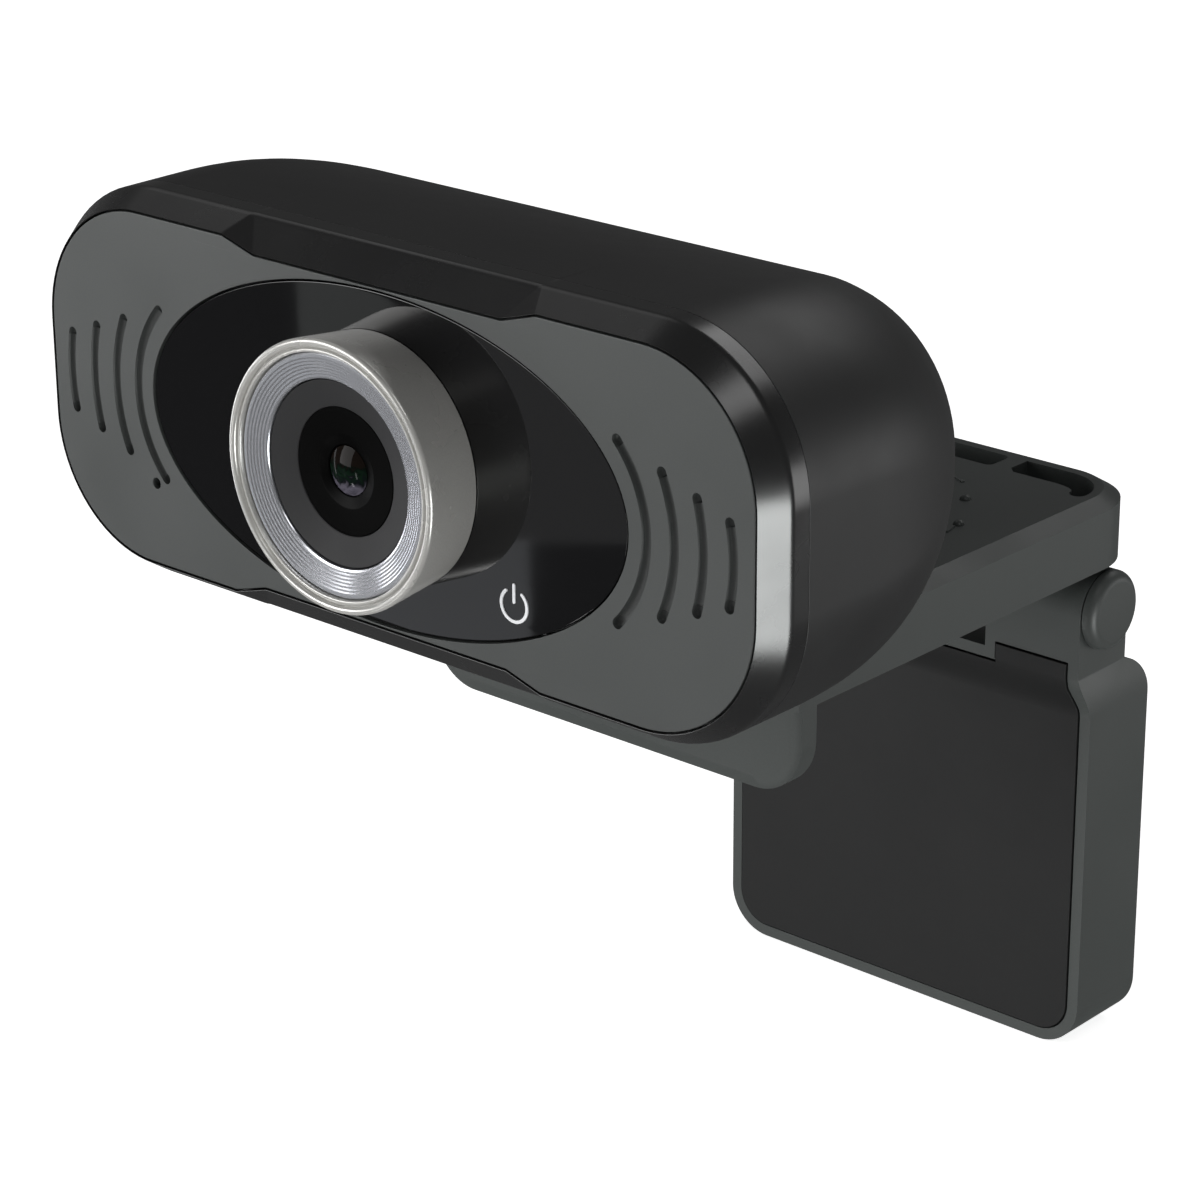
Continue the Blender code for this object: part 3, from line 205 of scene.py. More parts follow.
class Form:
    """A closed surface put together from rings of points."""

    def __init__(self):
        self.bm = bmesh.new()

    def ring(self, points):
        return [self.bm.verts.new(Vector(p) * MM) for p in points]

    def skin(self, *rings):
        for near, far in zip(rings, rings[1:]):
            for i in range(len(near)):
                j = (i + 1) % len(near)
                self.bm.faces.new((near[i], near[j], far[j], far[i]))

    def fill(self, *loops):
        verts = [v for loop in loops for v in loop]
        for corners in tessellate_polygon([[v.co for v in loop] for loop in loops]):
            self.bm.faces.new([verts[i] for i in corners])

    def done(self, name):
        return object_from(self.bm, name)


def bake(obj):
    """Replace an object by its evaluated mesh."""
    graph = bpy.context.evaluated_depsgraph_get()
    bm = bmesh.new()
    bm.from_mesh(bpy.data.meshes.new_from_object(obj.evaluated_get(graph)))
    bm.transform(obj.matrix_world)
    name = obj.name
    bpy.data.objects.remove(obj, do_unlink=True)
    return object_from(bm, name)


def combine(target, tool, operation, solver="EXACT"):
    modifier = target.modifiers.new("combine", "BOOLEAN")
    modifier.operation = operation
    modifier.object = tool
    modifier.solver = solver
    bpy.context.view_layer.update()
    result = bake(target)
    bpy.data.objects.remove(tool, do_unlink=True)
    return result


def cut(target, *tools, solver="EXACT"):
    for tool in tools:
        target = combine(target, tool, "DIFFERENCE", solver)
    return target


def join(target, *tools, solver="EXACT"):
    for tool in tools:
        target = combine(target, tool, "UNION", solver)
    return target


def block(low, high):
    bm = bmesh.new()
    size = [(h - l) * MM for l, h in zip(low, high)]
    middle = [(h + l) / 2 * MM for l, h in zip(low, high)]
    bmesh.ops.create_cube(bm, size=1.0, matrix=Matrix.Translation(middle) @ Matrix.Diagonal((*size, 1.0)))
    return object_from(bm, "block")


def turned(profile, axis, across, steps=128, name="turned"):
    """A solid turned from a closed profile of (radius, place along the axis)."""
    form = Form()
    place = list(across)
    place.insert("XYZ".index(axis), 0.0)
    turn = Matrix.Translation(place) @ AXIS_TURN[axis]
    rings = []
    for radius, along in profile:
        points = []
        for i in range(steps):
            angle = 2 * math.pi * i / steps
            points.append(turn @ Vector((radius * math.cos(angle), radius * math.sin(angle), along)))
        rings.append(form.ring(points))
    if min(r for r, _ in profile) > 0:
        rings.append(rings[0])
    form.skin(*rings)
    return form.done(name)


def rod(radius, axis, start, end, across, steps=96):
    return turned([(0, start), (radius, start), (radius, end), (0, end)], axis, across, steps)


def plate(outlines, axis, low, high, name="plate"):
    """Outlines, with holes where one lies inside another, made solid from low to high."""
    form = Form()
    spread = {
        "X": lambda u, v, w: (w, u, v),
        "Y": lambda u, v, w: (u, w, v),
        "Z": lambda u, v, w: (u, v, w),
    }[axis]
    loops = []
    for place in (low, high):
        loops.append([form.ring([spread(u, v, place) for u, v in outline]) for outline in outlines])
        form.fill(*loops[-1])
    for near, far in zip(*loops):
        form.skin(near, far)
    return form.done(name)


def loft(sections, name="loft"):
    form = Form()
    rings = [form.ring(section) for section in sections]
    form.skin(*rings)
    form.fill(rings[0])
    form.fill(rings[-1])
    return form.done(name)


def soften(obj, width, segments=3, angle=32):
    """Round every edge sharper than the angle."""
    bevel = obj.modifiers.new("soften", "BEVEL")
    bevel.width = width * MM
    bevel.segments = segments
    bevel.limit_method = "ANGLE"
    bevel.angle_limit = math.radians(angle)
    bevel.miter_outer = "MITER_ARC"
    bevel.use_clamp_overlap = True
    return obj


def finish(obj, name, material, body, *replaced, angle=40):
    """Name and dress a piece, put it on its body, and hide the CAD parts it stands for."""
    if obj.modifiers:
        obj = bake(obj)
    obj.name = name
    obj.data.name = name
    obj.data.materials.clear()
    obj.data.materials.append(material)
    obj.data.shade_smooth()
    obj.data.set_sharp_from_angle(angle=math.radians(angle))
    weighted = obj.modifiers.new("weighted", "WEIGHTED_NORMAL")
    weighted.keep_sharp = True
    weighted.weight = 60
    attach(obj, body)
    if replaced:
        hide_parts(*replaced)
    return obj


# ---- outlines ---------------------------------------------------------------------------
def arc(centre, radius, start, end, steps):
    points = []
    for i in range(steps + 1):
        angle = math.radians(start + (end - start) * i / steps)
        points.append((centre[0] + radius * math.cos(angle), centre[1] + radius * math.sin(angle)))
    return points


def fillet(corners, steps=6):
    """A polygon of (x, y, radius) corners with each corner rounded."""
    points = []
    count = len(corners)
    for i, (x, y, radius) in enumerate(corners):
        if not radius:
            points.append((x, y))
            continue
        here = Vector((x, y))
        back = (Vector(corners[i - 1][:2]) - here).normalized()
        ahead = (Vector(corners[(i + 1) % count][:2]) - here).normalized()
        half = back.angle(ahead) / 2
        centre = here + (back + ahead).normalized() * (radius / math.sin(half))
        first = here + back * (radius / math.tan(half)) - centre
        last = here + ahead * (radius / math.tan(half)) - centre
        turn = math.atan2(first.x * last.y - first.y * last.x, first.dot(last))
        for k in range(steps + 1):
            a = turn * k / steps
            points.append((centre.x + first.x * math.cos(a) - first.y * math.sin(a),
                           centre.y + first.x * math.sin(a) + first.y * math.cos(a)))
    return points


def rounded_rectangle(left, right, bottom, top, radii, steps=10):
    """Corner radii run anticlockwise from the upper right; a radius of 0 is a sharp corner."""
    corners = ((right, top), (left, top), (left, bottom), (right, bottom))
    return fillet([(x, y, r) for (x, y), r in zip(corners, radii)], steps)


def ellipse(half_w, half_h, centre=(0.0, 0.0), steps=160):
    turns = [2 * math.pi * i / steps for i in range(steps)]
    return [(centre[0] + half_w * math.cos(t), centre[1] + half_h * math.sin(t)) for t in turns]


def head_outline(half_w, half_h, corner_r, dip=0.0):
    """The head's section; its long edges step in at the middle by dip, over a rounded slope."""
    straight = half_w - corner_r
    centre_z = half_h - corner_r
    steps = 20
    bend = 5
    if dip:
        slope = [(DIP_END_X, half_h, 1.6), (DIP_FLAT_X, half_h - dip, 1.6)]
        far = [(-x, z, r) for x, z, r in reversed(slope)]
        guide = [(straight, half_h, 0)] + slope + far + [(-straight, half_h, 0), (0, 0, 0)]
        upper = fillet(guide, bend)[1:-2]
    else:
        span = min(0.6, 0.1 * straight)
        middle = min(DIP_APEX_X, 0.85 * straight)
        one = [(middle + span / 2 - span * k / (2 * bend + 1), half_h) for k in range(2 * bend + 2)]
        upper = one + [(-x, z) for x, z in reversed(one)]
    half = arc((straight, centre_z), corner_r, 0, 90, steps) + upper
    half += arc((-straight, centre_z), corner_r, 90, 180, steps)
    return half + [(-x, -z) for x, z in half]


def face_outline(inset=0.0):
    inset += CHAMFER_W
    return head_outline(HEAD_HALF_W - inset, HEAD_HALF_H - inset, HEAD_CORNER_R - inset, EDGE_DIP)


def body_outline(inset=0.0):
    return head_outline(HEAD_HALF_W - inset, HEAD_HALF_H - inset, HEAD_CORNER_R - inset)


def at(outline, y):
    """An outline about the lens axis, placed at y."""
    return [(x, y, z + LENS_Z) for x, z in outline]


def between(a, b, share):
    return [(p[0] + (q[0] - p[0]) * share, p[1] + (q[1] - p[1]) * share) for p, q in zip(a, b)]


def rim(radius, steps=5):
    """(inset, depth) along a rounded edge, from the side to the face."""
    turns = [math.pi / 2 * i / steps for i in range(steps + 1)]
    return [(radius * (1 - math.cos(t)), radius * (1 - math.sin(t))) for t in turns]


def ease(run, inset, distance):
    share = min(max(distance / run, 0.0), 1.0)
    return inset * (1 - math.sqrt(1 - share * share))


def dome_section(y, wall, inset=0.0):
    back = HEAD_BACK - wall
    half_w = HEAD_HALF_W - wall - ease(DOME_SIDE_RUN, HEAD_HALF_W - BACK_HALF_W, y - back + DOME_SIDE_RUN)
    half_h = HEAD_HALF_H - wall - ease(DOME_TOP_RUN, HEAD_HALF_H - BACK_HALF_H, y - back + DOME_TOP_RUN)
    corner_r = min(HEAD_CORNER_R - wall, half_h * 0.95, half_w * 0.95)
    return at(head_outline(half_w - inset, half_h - inset, corner_r - inset), y)


def slot_ring(middle_x, half_height, bow, side, half_w):
    """A curved slot's outline at a given half width, and how much each point belongs to the ends."""
    radius = (half_height ** 2 + bow ** 2) / (2 * bow)
    reach = math.asin(half_height / radius)
    length = radius * reach
    centre_x = middle_x - radius
    near_end = [1 - 0.42 / length, 1 - 0.56 / length]
    shares = [near_end[1] * k / 12 for k in range(-12, 13)]
    shares = [-1.0, -near_end[0]] + shares + [near_end[0], 1.0]
    weight = [1.0, 1.0] + [0.0] * 25 + [1.0, 1.0]
    outer = [(centre_x + (radius + half_w) * math.cos(reach * s), (radius + half_w) * math.sin(reach * s))
             for s in shares]
    inner = [(centre_x + (radius - half_w) * math.cos(reach * s), (radius - half_w) * math.sin(reach * s))
             for s in reversed(shares)]
    ends = []
    for sign in (1, -1):
        a = reach * sign
        middle = (centre_x + radius * math.cos(a), radius * math.sin(a))
        first = math.degrees(a) if sign > 0 else math.degrees(a) - 180
        ends.append(arc(middle, half_w, first, first + 180, 16)[1:-1])
    points = outer + ends[0] + inner + ends[1]
    weights = weight + [1.0] * 15 + weight[::-1] + [1.0] * 15
    return [(side * x, z) for x, z in points], weights


def node(tree, kind, **values):
    made = tree.nodes.new(kind)
    for key, value in values.items():
        if key in made.inputs:
            made.inputs[key].default_value = value
        else:
            setattr(made, key, value)
    return made


def moulded(name, slot, colour, roughness, grain=0.16, bump=0.05, spread=0.05, shade=0.06, **shader_values):
    """Moulded plastic or metal: fine grain in the surface and in its tone, and slow changes of gloss."""
    made = bpy.data.materials.new(name)
    made.use_nodes = True
    tree = made.node_tree
    shader = tree.nodes["Principled BSDF"]
    for key, value in shader_values.items():
        shader.inputs[key.replace("_", " ")].default_value = value
    place = tree.nodes.new("ShaderNodeTexCoord")
    fine = node(tree, "ShaderNodeTexNoise", Scale=1 / (grain * MM), Detail=2.0, Roughness=0.6)
    slow = node(tree, "ShaderNodeTexNoise", Scale=70.0, Detail=4.0, Roughness=0.55)
    tree.links.new(place.outputs["Object"], fine.inputs["Vector"])
    tree.links.new(place.outputs["Object"], slow.inputs["Vector"])
    relief = node(tree, "ShaderNodeBump", Strength=bump, Distance=0.02 * MM)
    tree.links.new(fine.outputs["Fac"], relief.inputs["Height"])
    tree.links.new(relief.outputs["Normal"], shader.inputs["Normal"])
    gloss = node(tree, "ShaderNodeMapRange")
    gloss.inputs["From Min"].default_value = 0.3
    gloss.inputs["From Max"].default_value = 0.7
    gloss.inputs["To Min"].default_value = roughness - spread
    gloss.inputs["To Max"].default_value = roughness + spread
    tree.links.new(slow.outputs["Fac"], gloss.inputs["Value"])
    tree.links.new(gloss.outputs["Result"], shader.inputs["Roughness"])
    tone = tree.nodes.new("ShaderNodeValToRGB")
    tone.color_ramp.elements[0].position = 0.3
    tone.color_ramp.elements[1].position = 0.7
    tone.color_ramp.elements[0].color = (*[c * (1 - shade) for c in colour], 1)
    tone.color_ramp.elements[1].color = (*[c * (1 + shade) for c in colour], 1)
    tree.links.new(fine.outputs["Fac"], tone.inputs["Fac"])
    tree.links.new(tone.outputs["Color"], shader.inputs["Base Color"])
    return made


FACE_GREY = moulded("face_grey_satin", "face_grey", (0.052, 0.0565, 0.0550), 0.42)
SHELL_BLACK = moulded("shell_black_satin", "shell_black", (0.0125, 0.0125, 0.0127), 0.48,
                      Specular_IOR_Level=0.5)
BEZEL_BLACK = moulded("bezel_black_satin", "shell_black", (0.0125, 0.0125, 0.0127), 0.27,
                      Specular_IOR_Level=0.65)
CLIP_GREY = moulded("clip_grey_satin", "clip_grey", (0.055, 0.061, 0.0585), 0.42, Specular_IOR_Level=0.35)
GLOSS_BLACK = moulded("gloss_black_mirror", "gloss_black", (0.004, 0.004, 0.0045), 0.03, bump=0.0,
                      spread=0.01)
DARK_TRIM = moulded("dark_trim_satin", "dark_trim", (0.021, 0.021, 0.022), 0.6, Specular_IOR_Level=0.25)
DISC_BLACK = moulded("disc_black_satin", "gloss_black", (0.0008, 0.0008, 0.0008), 0.40,
                     Specular_IOR_Level=0.04)
RING_SIDE = moulded("ring_satin_metal", "ring_metal", (0.52, 0.514, 0.492), 0.26, bump=0.03, Metallic=0.35)
RING_BRIGHT = moulded("ring_bright_metal", "ring_metal", (0.62, 0.63, 0.67), 0.24, bump=0.0, shade=0.0,
                      spread=0.01, Metallic=0.85)
RUBBER = moulded("rubber_matte", "rubber", (0.0070, 0.0072, 0.0072), 0.6, grain=0.3, bump=0.10,
                 Specular_IOR_Level=0.35)
STEEL = moulded("steel_plain", "steel", (0.5, 0.5, 0.51), 0.28, Metallic=1.0)
BOARD_GREEN = moulded("board_green_mask", "board_green", (0.02, 0.10, 0.05), 0.4)
CHIP_BLACK = moulded("chip_black_moulded", "chip_black", (0.015, 0.015, 0.016), 0.35)
LIGHT_WHITE = moulded("light_white_clear", "light_white", (0.80, 0.81, 0.83), 0.3, bump=0.0)


def make_lens_glass_painted_reflection():
    """Glass with its coating's reflections painted into the base colour: a painted brownish reflection above,
    green streaks across the middle, violet grey below.
    """
    made = moulded("lens_glass_painted_reflection", "lens_glass", (0.01, 0.01, 0.01), 0.05, bump=0.0, spread=0.02,
                   Specular_IOR_Level=0.05)
    tree = made.node_tree
    shader = tree.nodes["Principled BSDF"]
    place = tree.nodes["Texture Coordinate"]
    split = tree.nodes.new("ShaderNodeSeparateXYZ")
    tree.links.new(place.outputs["Object"], split.inputs["Vector"])
    height = node(tree, "ShaderNodeMapRange")
    height.inputs["From Min"].default_value = (LENS_Z - LENS_R) * MM
    height.inputs["From Max"].default_value = (LENS_Z + LENS_R) * MM
    tree.links.new(split.outputs["Z"], height.inputs["Value"])
    streak = node(tree, "ShaderNodeTexNoise", Scale=700.0, Detail=2.0, Distortion=1.5)
    tree.links.new(place.outputs["Object"], streak.inputs["Vector"])
    mixed = node(tree, "ShaderNodeMath", operation="MULTIPLY_ADD")
    mixed.inputs[1].default_value = 0.7
    tree.links.new(streak.outputs["Fac"], mixed.inputs[0])
    tree.links.new(height.outputs["Result"], mixed.inputs[2])
    ramp = tree.nodes.new("ShaderNodeValToRGB")
    # Painted reflections, set by height on the lens plus noise streaks: violet grey low, green streaks higher
    # up, brownish at the top.
    painted_reflection_stops = ((0.30, (0.012, 0.011, 0.016)), (0.52, (0.085, 0.078, 0.100)), (0.68, (0.004, 0.005, 0.006)),
             (0.80, (0.004, 0.011, 0.006)), (0.90, (0.002, 0.004, 0.003)), (1.00, (0.007, 0.005, 0.004)))
    ramp.color_ramp.elements[0].position = painted_reflection_stops[0][0]
    ramp.color_ramp.elements[0].color = (*painted_reflection_stops[0][1], 1)
    ramp.color_ramp.elements[1].position = painted_reflection_stops[-1][0]
    ramp.color_ramp.elements[1].color = (*painted_reflection_stops[-1][1], 1)
    for position, colour in painted_reflection_stops[1:-1]:
        ramp.color_ramp.elements.new(position).color = (*colour, 1)
    tree.links.new(mixed.outputs["Value"], ramp.inputs["Fac"])
    tree.links.new(ramp.outputs["Color"], shader.inputs["Base Color"])
    return made


# Lens glass whose coloured reflections are painted into its base colour.
LENS_GLASS_PAINTED_REFLECTION = make_lens_glass_painted_reflection()


# ---- camera head ------------------------------------------------------------------------
def make_face_plate():
    form = Form()
    edge = rim(0.1)
    outer = [form.ring(at(face_outline(PLATE_INSET), PLATE_BACK))]
    outer += [form.ring(at(face_outline(PLATE_INSET + i), FACE_Y + d)) for i, d in edge]
    opening = [form.ring(at(ellipse(PANEL_HALF_W + PANEL_GAP, PANEL_HALF_H + PANEL_GAP), PLATE_BACK))]
    opening += [form.ring(at(ellipse(PANEL_HALF_W + PANEL_GAP + i, PANEL_HALF_H + PANEL_GAP + i), FACE_Y + d))
                for i, d in rim(0.06)]
    mic_rings = [form.ring(at(ellipse(MIC_HOLE_R, MIC_HOLE_R, (MIC_X, -MIC_DROP), 24), PLATE_BACK))]
    mic_rings += [form.ring(at(ellipse(MIC_HOLE_R + i, MIC_HOLE_R + i, (MIC_X, -MIC_DROP), 24), FACE_Y + d))
                  for i, d in rim(0.08, 3)]
    for rings in (outer, opening, mic_rings):
        form.skin(*rings)
    half = SLOT_W / 2
    steps = [(half + 0.1 - i, d) for i, d in reversed(rim(0.1, 4))]
    for k in range(13):
        turn = math.pi / 2 * k / 12
        steps.append((half * math.cos(turn), 0.34 + 0.40 * math.sin(turn)))
    slots = []
    for slot in SLOTS:
        for side in (-1, 1):
            rings = []
            for half_w, depth in steps:
                points, weights = slot_ring(*slot, side, max(half_w, 0.0))
                extra = 0.16 * min(depth / 0.34, 1.0)
                rings.append(form.ring([(x, FACE_Y + depth + extra * w, z + LENS_Z)
                                        for (x, z), w in zip(points, weights)]))
            form.skin(*rings)
            slots.append(rings[0])
    form.fill(outer[-1], opening[-1], mic_rings[-1], *slots)
    form.fill(outer[0], opening[0], mic_rings[0])
    return form.done("face_plate")


def make_front_bezel():
    form = Form()
    face = face_outline()
    body = body_outline()
    rings = [form.ring(at(face_outline(RECESS_INSET), WEB_FRONT))]
    rings += [form.ring(at(face_outline(RECESS_INSET - i), FACE_Y + d)) for i, d in rim(RECESS_INSET, 3)]
    bend = 0.42
    share = bend / CHAMFER_DEPTH
    rings.append(form.ring(at(between(face, body, 0.06), FACE_Y + 0.06 * CHAMFER_DEPTH)))
    for k in range(8):
        u = k / 7
        across = (1 - u) ** 2 * (1 - share) + 2 * u * (1 - u) + u * u
        depth = CHAMFER_DEPTH + bend * (u * u - (1 - u) ** 2)
        rings.append(form.ring(at(between(face, body, across), FACE_Y + depth)))
    rings += [form.ring(at(body_outline(i), BEZEL_BACK - d)) for i, d in rim(0.05, 3)]
    rings.append(form.ring(at(body_outline(HEAD_WALL), BEZEL_BACK)))
    rings.append(form.ring(at(body_outline(HEAD_WALL), WEB_BACK)))
    form.skin(*rings)
    hole_r = SPIGOT_R + SEAT_GAP
    mic = ellipse(MIC_HOLE_R + 0.4, MIC_HOLE_R + 0.4, (MIC_X, -MIC_DROP), 24)
    half = SYMBOL_R + 1.6
    window = [(SYMBOL_X + x * half, -SYMBOL_DROP + z * half)
              for x, z in ((1, 1), (-1, 1), (-1, -1), (1, -1))]
    fronts, backs = [rings[0]], [rings[-1]]
    for hole in (ellipse(hole_r, hole_r, steps=64), mic, window):
        near, far = form.ring(at(hole, WEB_FRONT)), form.ring(at(hole, WEB_BACK))
        form.skin(near, far)
        fronts.append(near)
        backs.append(far)
    form.fill(*fronts)
    form.fill(*backs)
    return form.done("front_bezel")


def symbol_outlines(stroke):
    """The power symbol: an open circle and a bar through its gap, with round ends."""
    gap = 38
    centre = (SYMBOL_X, -SYMBOL_DROP)
    half = stroke / 2
    shape = arc(centre, SYMBOL_R + half, 90 + gap, 450 - gap, 48)
    tip = math.radians(450 - gap)
    end = (centre[0] + SYMBOL_R * math.cos(tip), centre[1] + SYMBOL_R * math.sin(tip))
    shape += arc(end, half, 90 - gap, 270 - gap, 8)[1:-1]
    shape += arc(centre, SYMBOL_R - half, 450 - gap, 90 + gap, 48)
    tip = math.radians(90 + gap)
    end = (centre[0] + SYMBOL_R * math.cos(tip), centre[1] + SYMBOL_R * math.sin(tip))
    shape += arc(end, half, 270 + gap, 450 + gap, 8)[1:-1]
    low = -SYMBOL_DROP + 0.35
    high = -SYMBOL_DROP + SYMBOL_R + 0.45
    bar = arc((SYMBOL_X, high), half, 0, 180, 8) + arc((SYMBOL_X, low), half, 180, 360, 8)
    return [shape, bar]


def make_face_panel():
    form = Form()
    front = PANEL_Y
    edge = rim(0.12, 4)
    outer = [form.ring(at(ellipse(PANEL_HALF_W, PANEL_HALF_H), PLATE_BACK))]
    outer += [form.ring(at(ellipse(PANEL_HALF_W - i, PANEL_HALF_H - i), front + d)) for i, d in edge]
    form.skin(*outer)
    fronts, backs = [outer[-1]], [outer[0]]
    hole_r = SPIGOT_R + SEAT_GAP
    for hole in [ellipse(hole_r, hole_r, steps=96)] + symbol_outlines(SYMBOL_STROKE + 0.06):
        near, far = form.ring(at(hole, front)), form.ring(at(hole, PLATE_BACK))
        form.skin(near, far)
        fronts.append(near)
        backs.append(far)
    form.fill(*fronts)
    form.fill(*backs)
    return form.done("face_panel")


def make_light_guide():
    back = PLATE_BACK + 0.2
    half = SYMBOL_R + 1.2
    low = (SYMBOL_X - half, back, LENS_Z - SYMBOL_DROP - half)
    guide = block(low, (SYMBOL_X + half, WEB_BACK, LENS_Z - SYMBOL_DROP + half))
    for outline in symbol_outlines(SYMBOL_STROKE):
        raised = [(x, z + LENS_Z) for x, z in outline]
        guide = join(guide, plate([raised], "Y", FACE_Y + 0.08, back + 0.4))
    return guide


def make_lens_ring():
    """Tapered ring: round bead in front, a groove and a second lip inside it, and the spigot behind."""
    front, back = RING_FRONT_Y, PANEL_Y - 0.05
    profile = [(RING_BACK_R - 0.12, back), (SPIGOT_R, back), (SPIGOT_R, WEB_BACK), (SPIGOT_R - 1.0, WEB_BACK),
               (SPIGOT_R - 1.0, front + 3.5), (RING_BORE_R, front + 3.3), (RING_BORE_R, front + 0.75)]
    lip_r = 0.2
    profile += arc((RING_BORE_R + lip_r, front + 0.42), lip_r, 180, 340, 10)
    profile.append((RING_BORE_R + 0.5, front + 0.52))
    profile.append((RING_BORE_R + 0.6, front + 0.52))
    bead_r = 0.42
    profile += arc((RING_FRONT_R - bead_r, front + bead_r), bead_r, 190, 372, 14)
    profile.append((RING_FRONT_R - 0.06, front + 1.2))
    profile += arc((RING_BACK_R - 0.12, back - 0.12), 0.12, 8, 90, 4)[:-1]
    return turned(profile, "Y", (0, LENS_Z), 192, "lens_ring")


def make_ring_insert():
    """The cone inside the ring, stepped by fine turned ridges."""
    front = RING_FRONT_Y
    outer_r = RING_BORE_R - FINE_GAP
    profile = [(outer_r, front + 2.9), (outer_r, front + 0.72), (outer_r - 0.15, front + 0.62)]
    ridges = 7
    high_r, low_r = outer_r - 0.3, CONE_IN_R + 0.1
    high_y, low_y = front + 0.62, front + 1.42
    for k in range(ridges):
        r0 = high_r + (low_r - high_r) * k / ridges
        y0 = high_y + (low_y - high_y) * k / ridges
        width = (high_r - low_r) / ridges
        drop = (low_y - high_y) / ridges
        profile += [(r0, y0), (r0 - 0.6 * width, y0 + 0.15 * drop)]
    profile += [(CONE_IN_R + 0.05, low_y), (CONE_IN_R, low_y + 0.1), (CONE_IN_R, front + 2.9)]
    return turned(profile, "Y", (0, LENS_Z), 192, "ring_insert")


def make_lens_annulus():
    front = RING_FRONT_Y
    outer_r = CONE_IN_R - FINE_GAP
    profile = [(outer_r, front + 3.9), (outer_r, front + 1.72), (outer_r - 0.06, front + 1.66),
               (outer_r - 0.2, front + 1.68), (ANNULUS_IN_R + 0.12, front + 2.52),
               (ANNULUS_IN_R, front + 2.64), (ANNULUS_IN_R, front + 3.9)]
    return turned(profile, "Y", (0, LENS_Z), 160, "lens_annulus")


def make_lens_disc():
    front = RING_FRONT_Y
    outer_r = ANNULUS_IN_R - FINE_GAP / 2
    inner_r = LENS_R + FINE_GAP
    profile = [(outer_r, front + 3.9), (outer_r, front + 2.68), (outer_r - 0.08, front + 2.62),
               (inner_r + 1.25, front + 2.72), (inner_r + 1.1, front + 2.80), (inner_r + 0.12, front + 2.98),
               (inner_r, front + 3.06), (inner_r, front + 3.9)]
    return turned(profile, "Y", (0, LENS_Z), 160, "lens_disc")


def make_front_lens():
    edge_y = RING_FRONT_Y + 3.1
    crown = 0.7
    bulge = (LENS_R ** 2 + crown ** 2) / (2 * crown)
    reach = math.degrees(math.asin(LENS_R / bulge))
    front = arc((0.0, edge_y - crown + bulge), bulge, -90, -90 + reach, 20)
    front[0] = (0.0, edge_y - crown)
    return turned(front + [(LENS_R, edge_y + 0.9), (0.0, edge_y + 0.9)], "Y", (0, LENS_Z), 96, "front_lens")


def dome(front, wall, rounded_start=False):
    back = HEAD_BACK - wall
    start = back - DOME_TOP_RUN
    sections = []
    if rounded_start:
        sections += [dome_section(front + d, wall, i) for i, d in reversed(rim(0.05, 3))]
    else:
        sections.append(dome_section(front, wall))
    steps = 36
    for i in range(steps + 1):
        y = start + (back - start) * math.sin(math.pi / 2 * i / steps)
        if y > front + 0.3:
            sections.append(dome_section(y, wall))
    return sections


def make_rear_housing():
    front = BEZEL_BACK + SEAM_GAP
    form = Form()
    outer = [form.ring(s) for s in dome(front, 0.0, True)]
    inner = [form.ring(s) for s in dome(front, HEAD_WALL)]
    form.skin(*outer)
    form.fill(outer[-1])
    form.skin(*inner)
    form.fill(inner[-1])
    form.skin(inner[0], outer[0])
    housing = form.done("rear_housing")
    cheek = TILT_PIN_HALF + 1.6
    low = (-cheek, TILT_Y - 8.5, TILT_Z - 10)
    cheeks = block(low, (cheek, HEAD_BACK + 1, TILT_Z + 8.5))
    cheeks = combine(cheeks, loft(dome(front, 0.3), "keep"), "INTERSECT")
    housing = join(housing, cheeks)
    pocket = rod(TILT_BARREL_R + RUN_GAP, "X", -TILT_POCKET_HALF, TILT_POCKET_HALF, (TILT_Y, TILT_Z), 48)
    reach = 24.0
    rise = reach * math.tan(math.radians(TILT_SLOT_DEG))
    wedge = [(TILT_Y, TILT_Z), (TILT_Y, TILT_Z - reach), (TILT_Y + reach, TILT_Z - reach),
             (TILT_Y + reach, TILT_Z + rise)]
    slot = plate([wedge], "X", -TILT_POCKET_HALF, TILT_POCKET_HALF)
    pin_half = TILT_PIN_HALF + 0.4
    pin_hole = rod(TILT_PIN_R + SEAT_GAP, "X", -pin_half, pin_half, (TILT_Y, TILT_Z), 32)
    cord_hole = rod(3.12, "Y", HEAD_BACK - 4, HEAD_BACK + 1, (0, LENS_Z + GROMMET_RISE), 48)
    return cut(housing, pocket, slot, pin_hole, cord_hole)


def make_cable_grommet():
    """The soft collar that the cord leaves through, with two grooves round it."""
    inner = HEAD_BACK - HEAD_WALL - 2 * SEAT_GAP
    outer = HEAD_BACK + FINE_GAP
    end = outer + GROMMET_LENGTH
    profile = [(1.9, end), (1.9, inner - 1.2), (3.8, inner - 1.2), (3.8, inner), (3.0, inner), (3.0, outer)]
    profile += [(GROMMET_R, outer), (GROMMET_R, outer + 1.0), (GROMMET_R - 0.2, outer + 1.2)]
    slope = (GROMMET_R - 2.9) / (GROMMET_LENGTH - 1.2)
    for along in (1.5, 2.3, 3.1):
        wide = GROMMET_R - slope * (along - 1.2)
        profile += [(wide - 0.1, outer + along), (wide - 0.45, outer + along + 0.1),
                    (wide - 0.5, outer + along + 0.4), (wide - 0.35, outer + along + 0.5)]
    profile += [(2.9, end - 0.15), (2.75, end)]
    return turned(profile, "Y", (0, LENS_Z + GROMMET_RISE), 64)


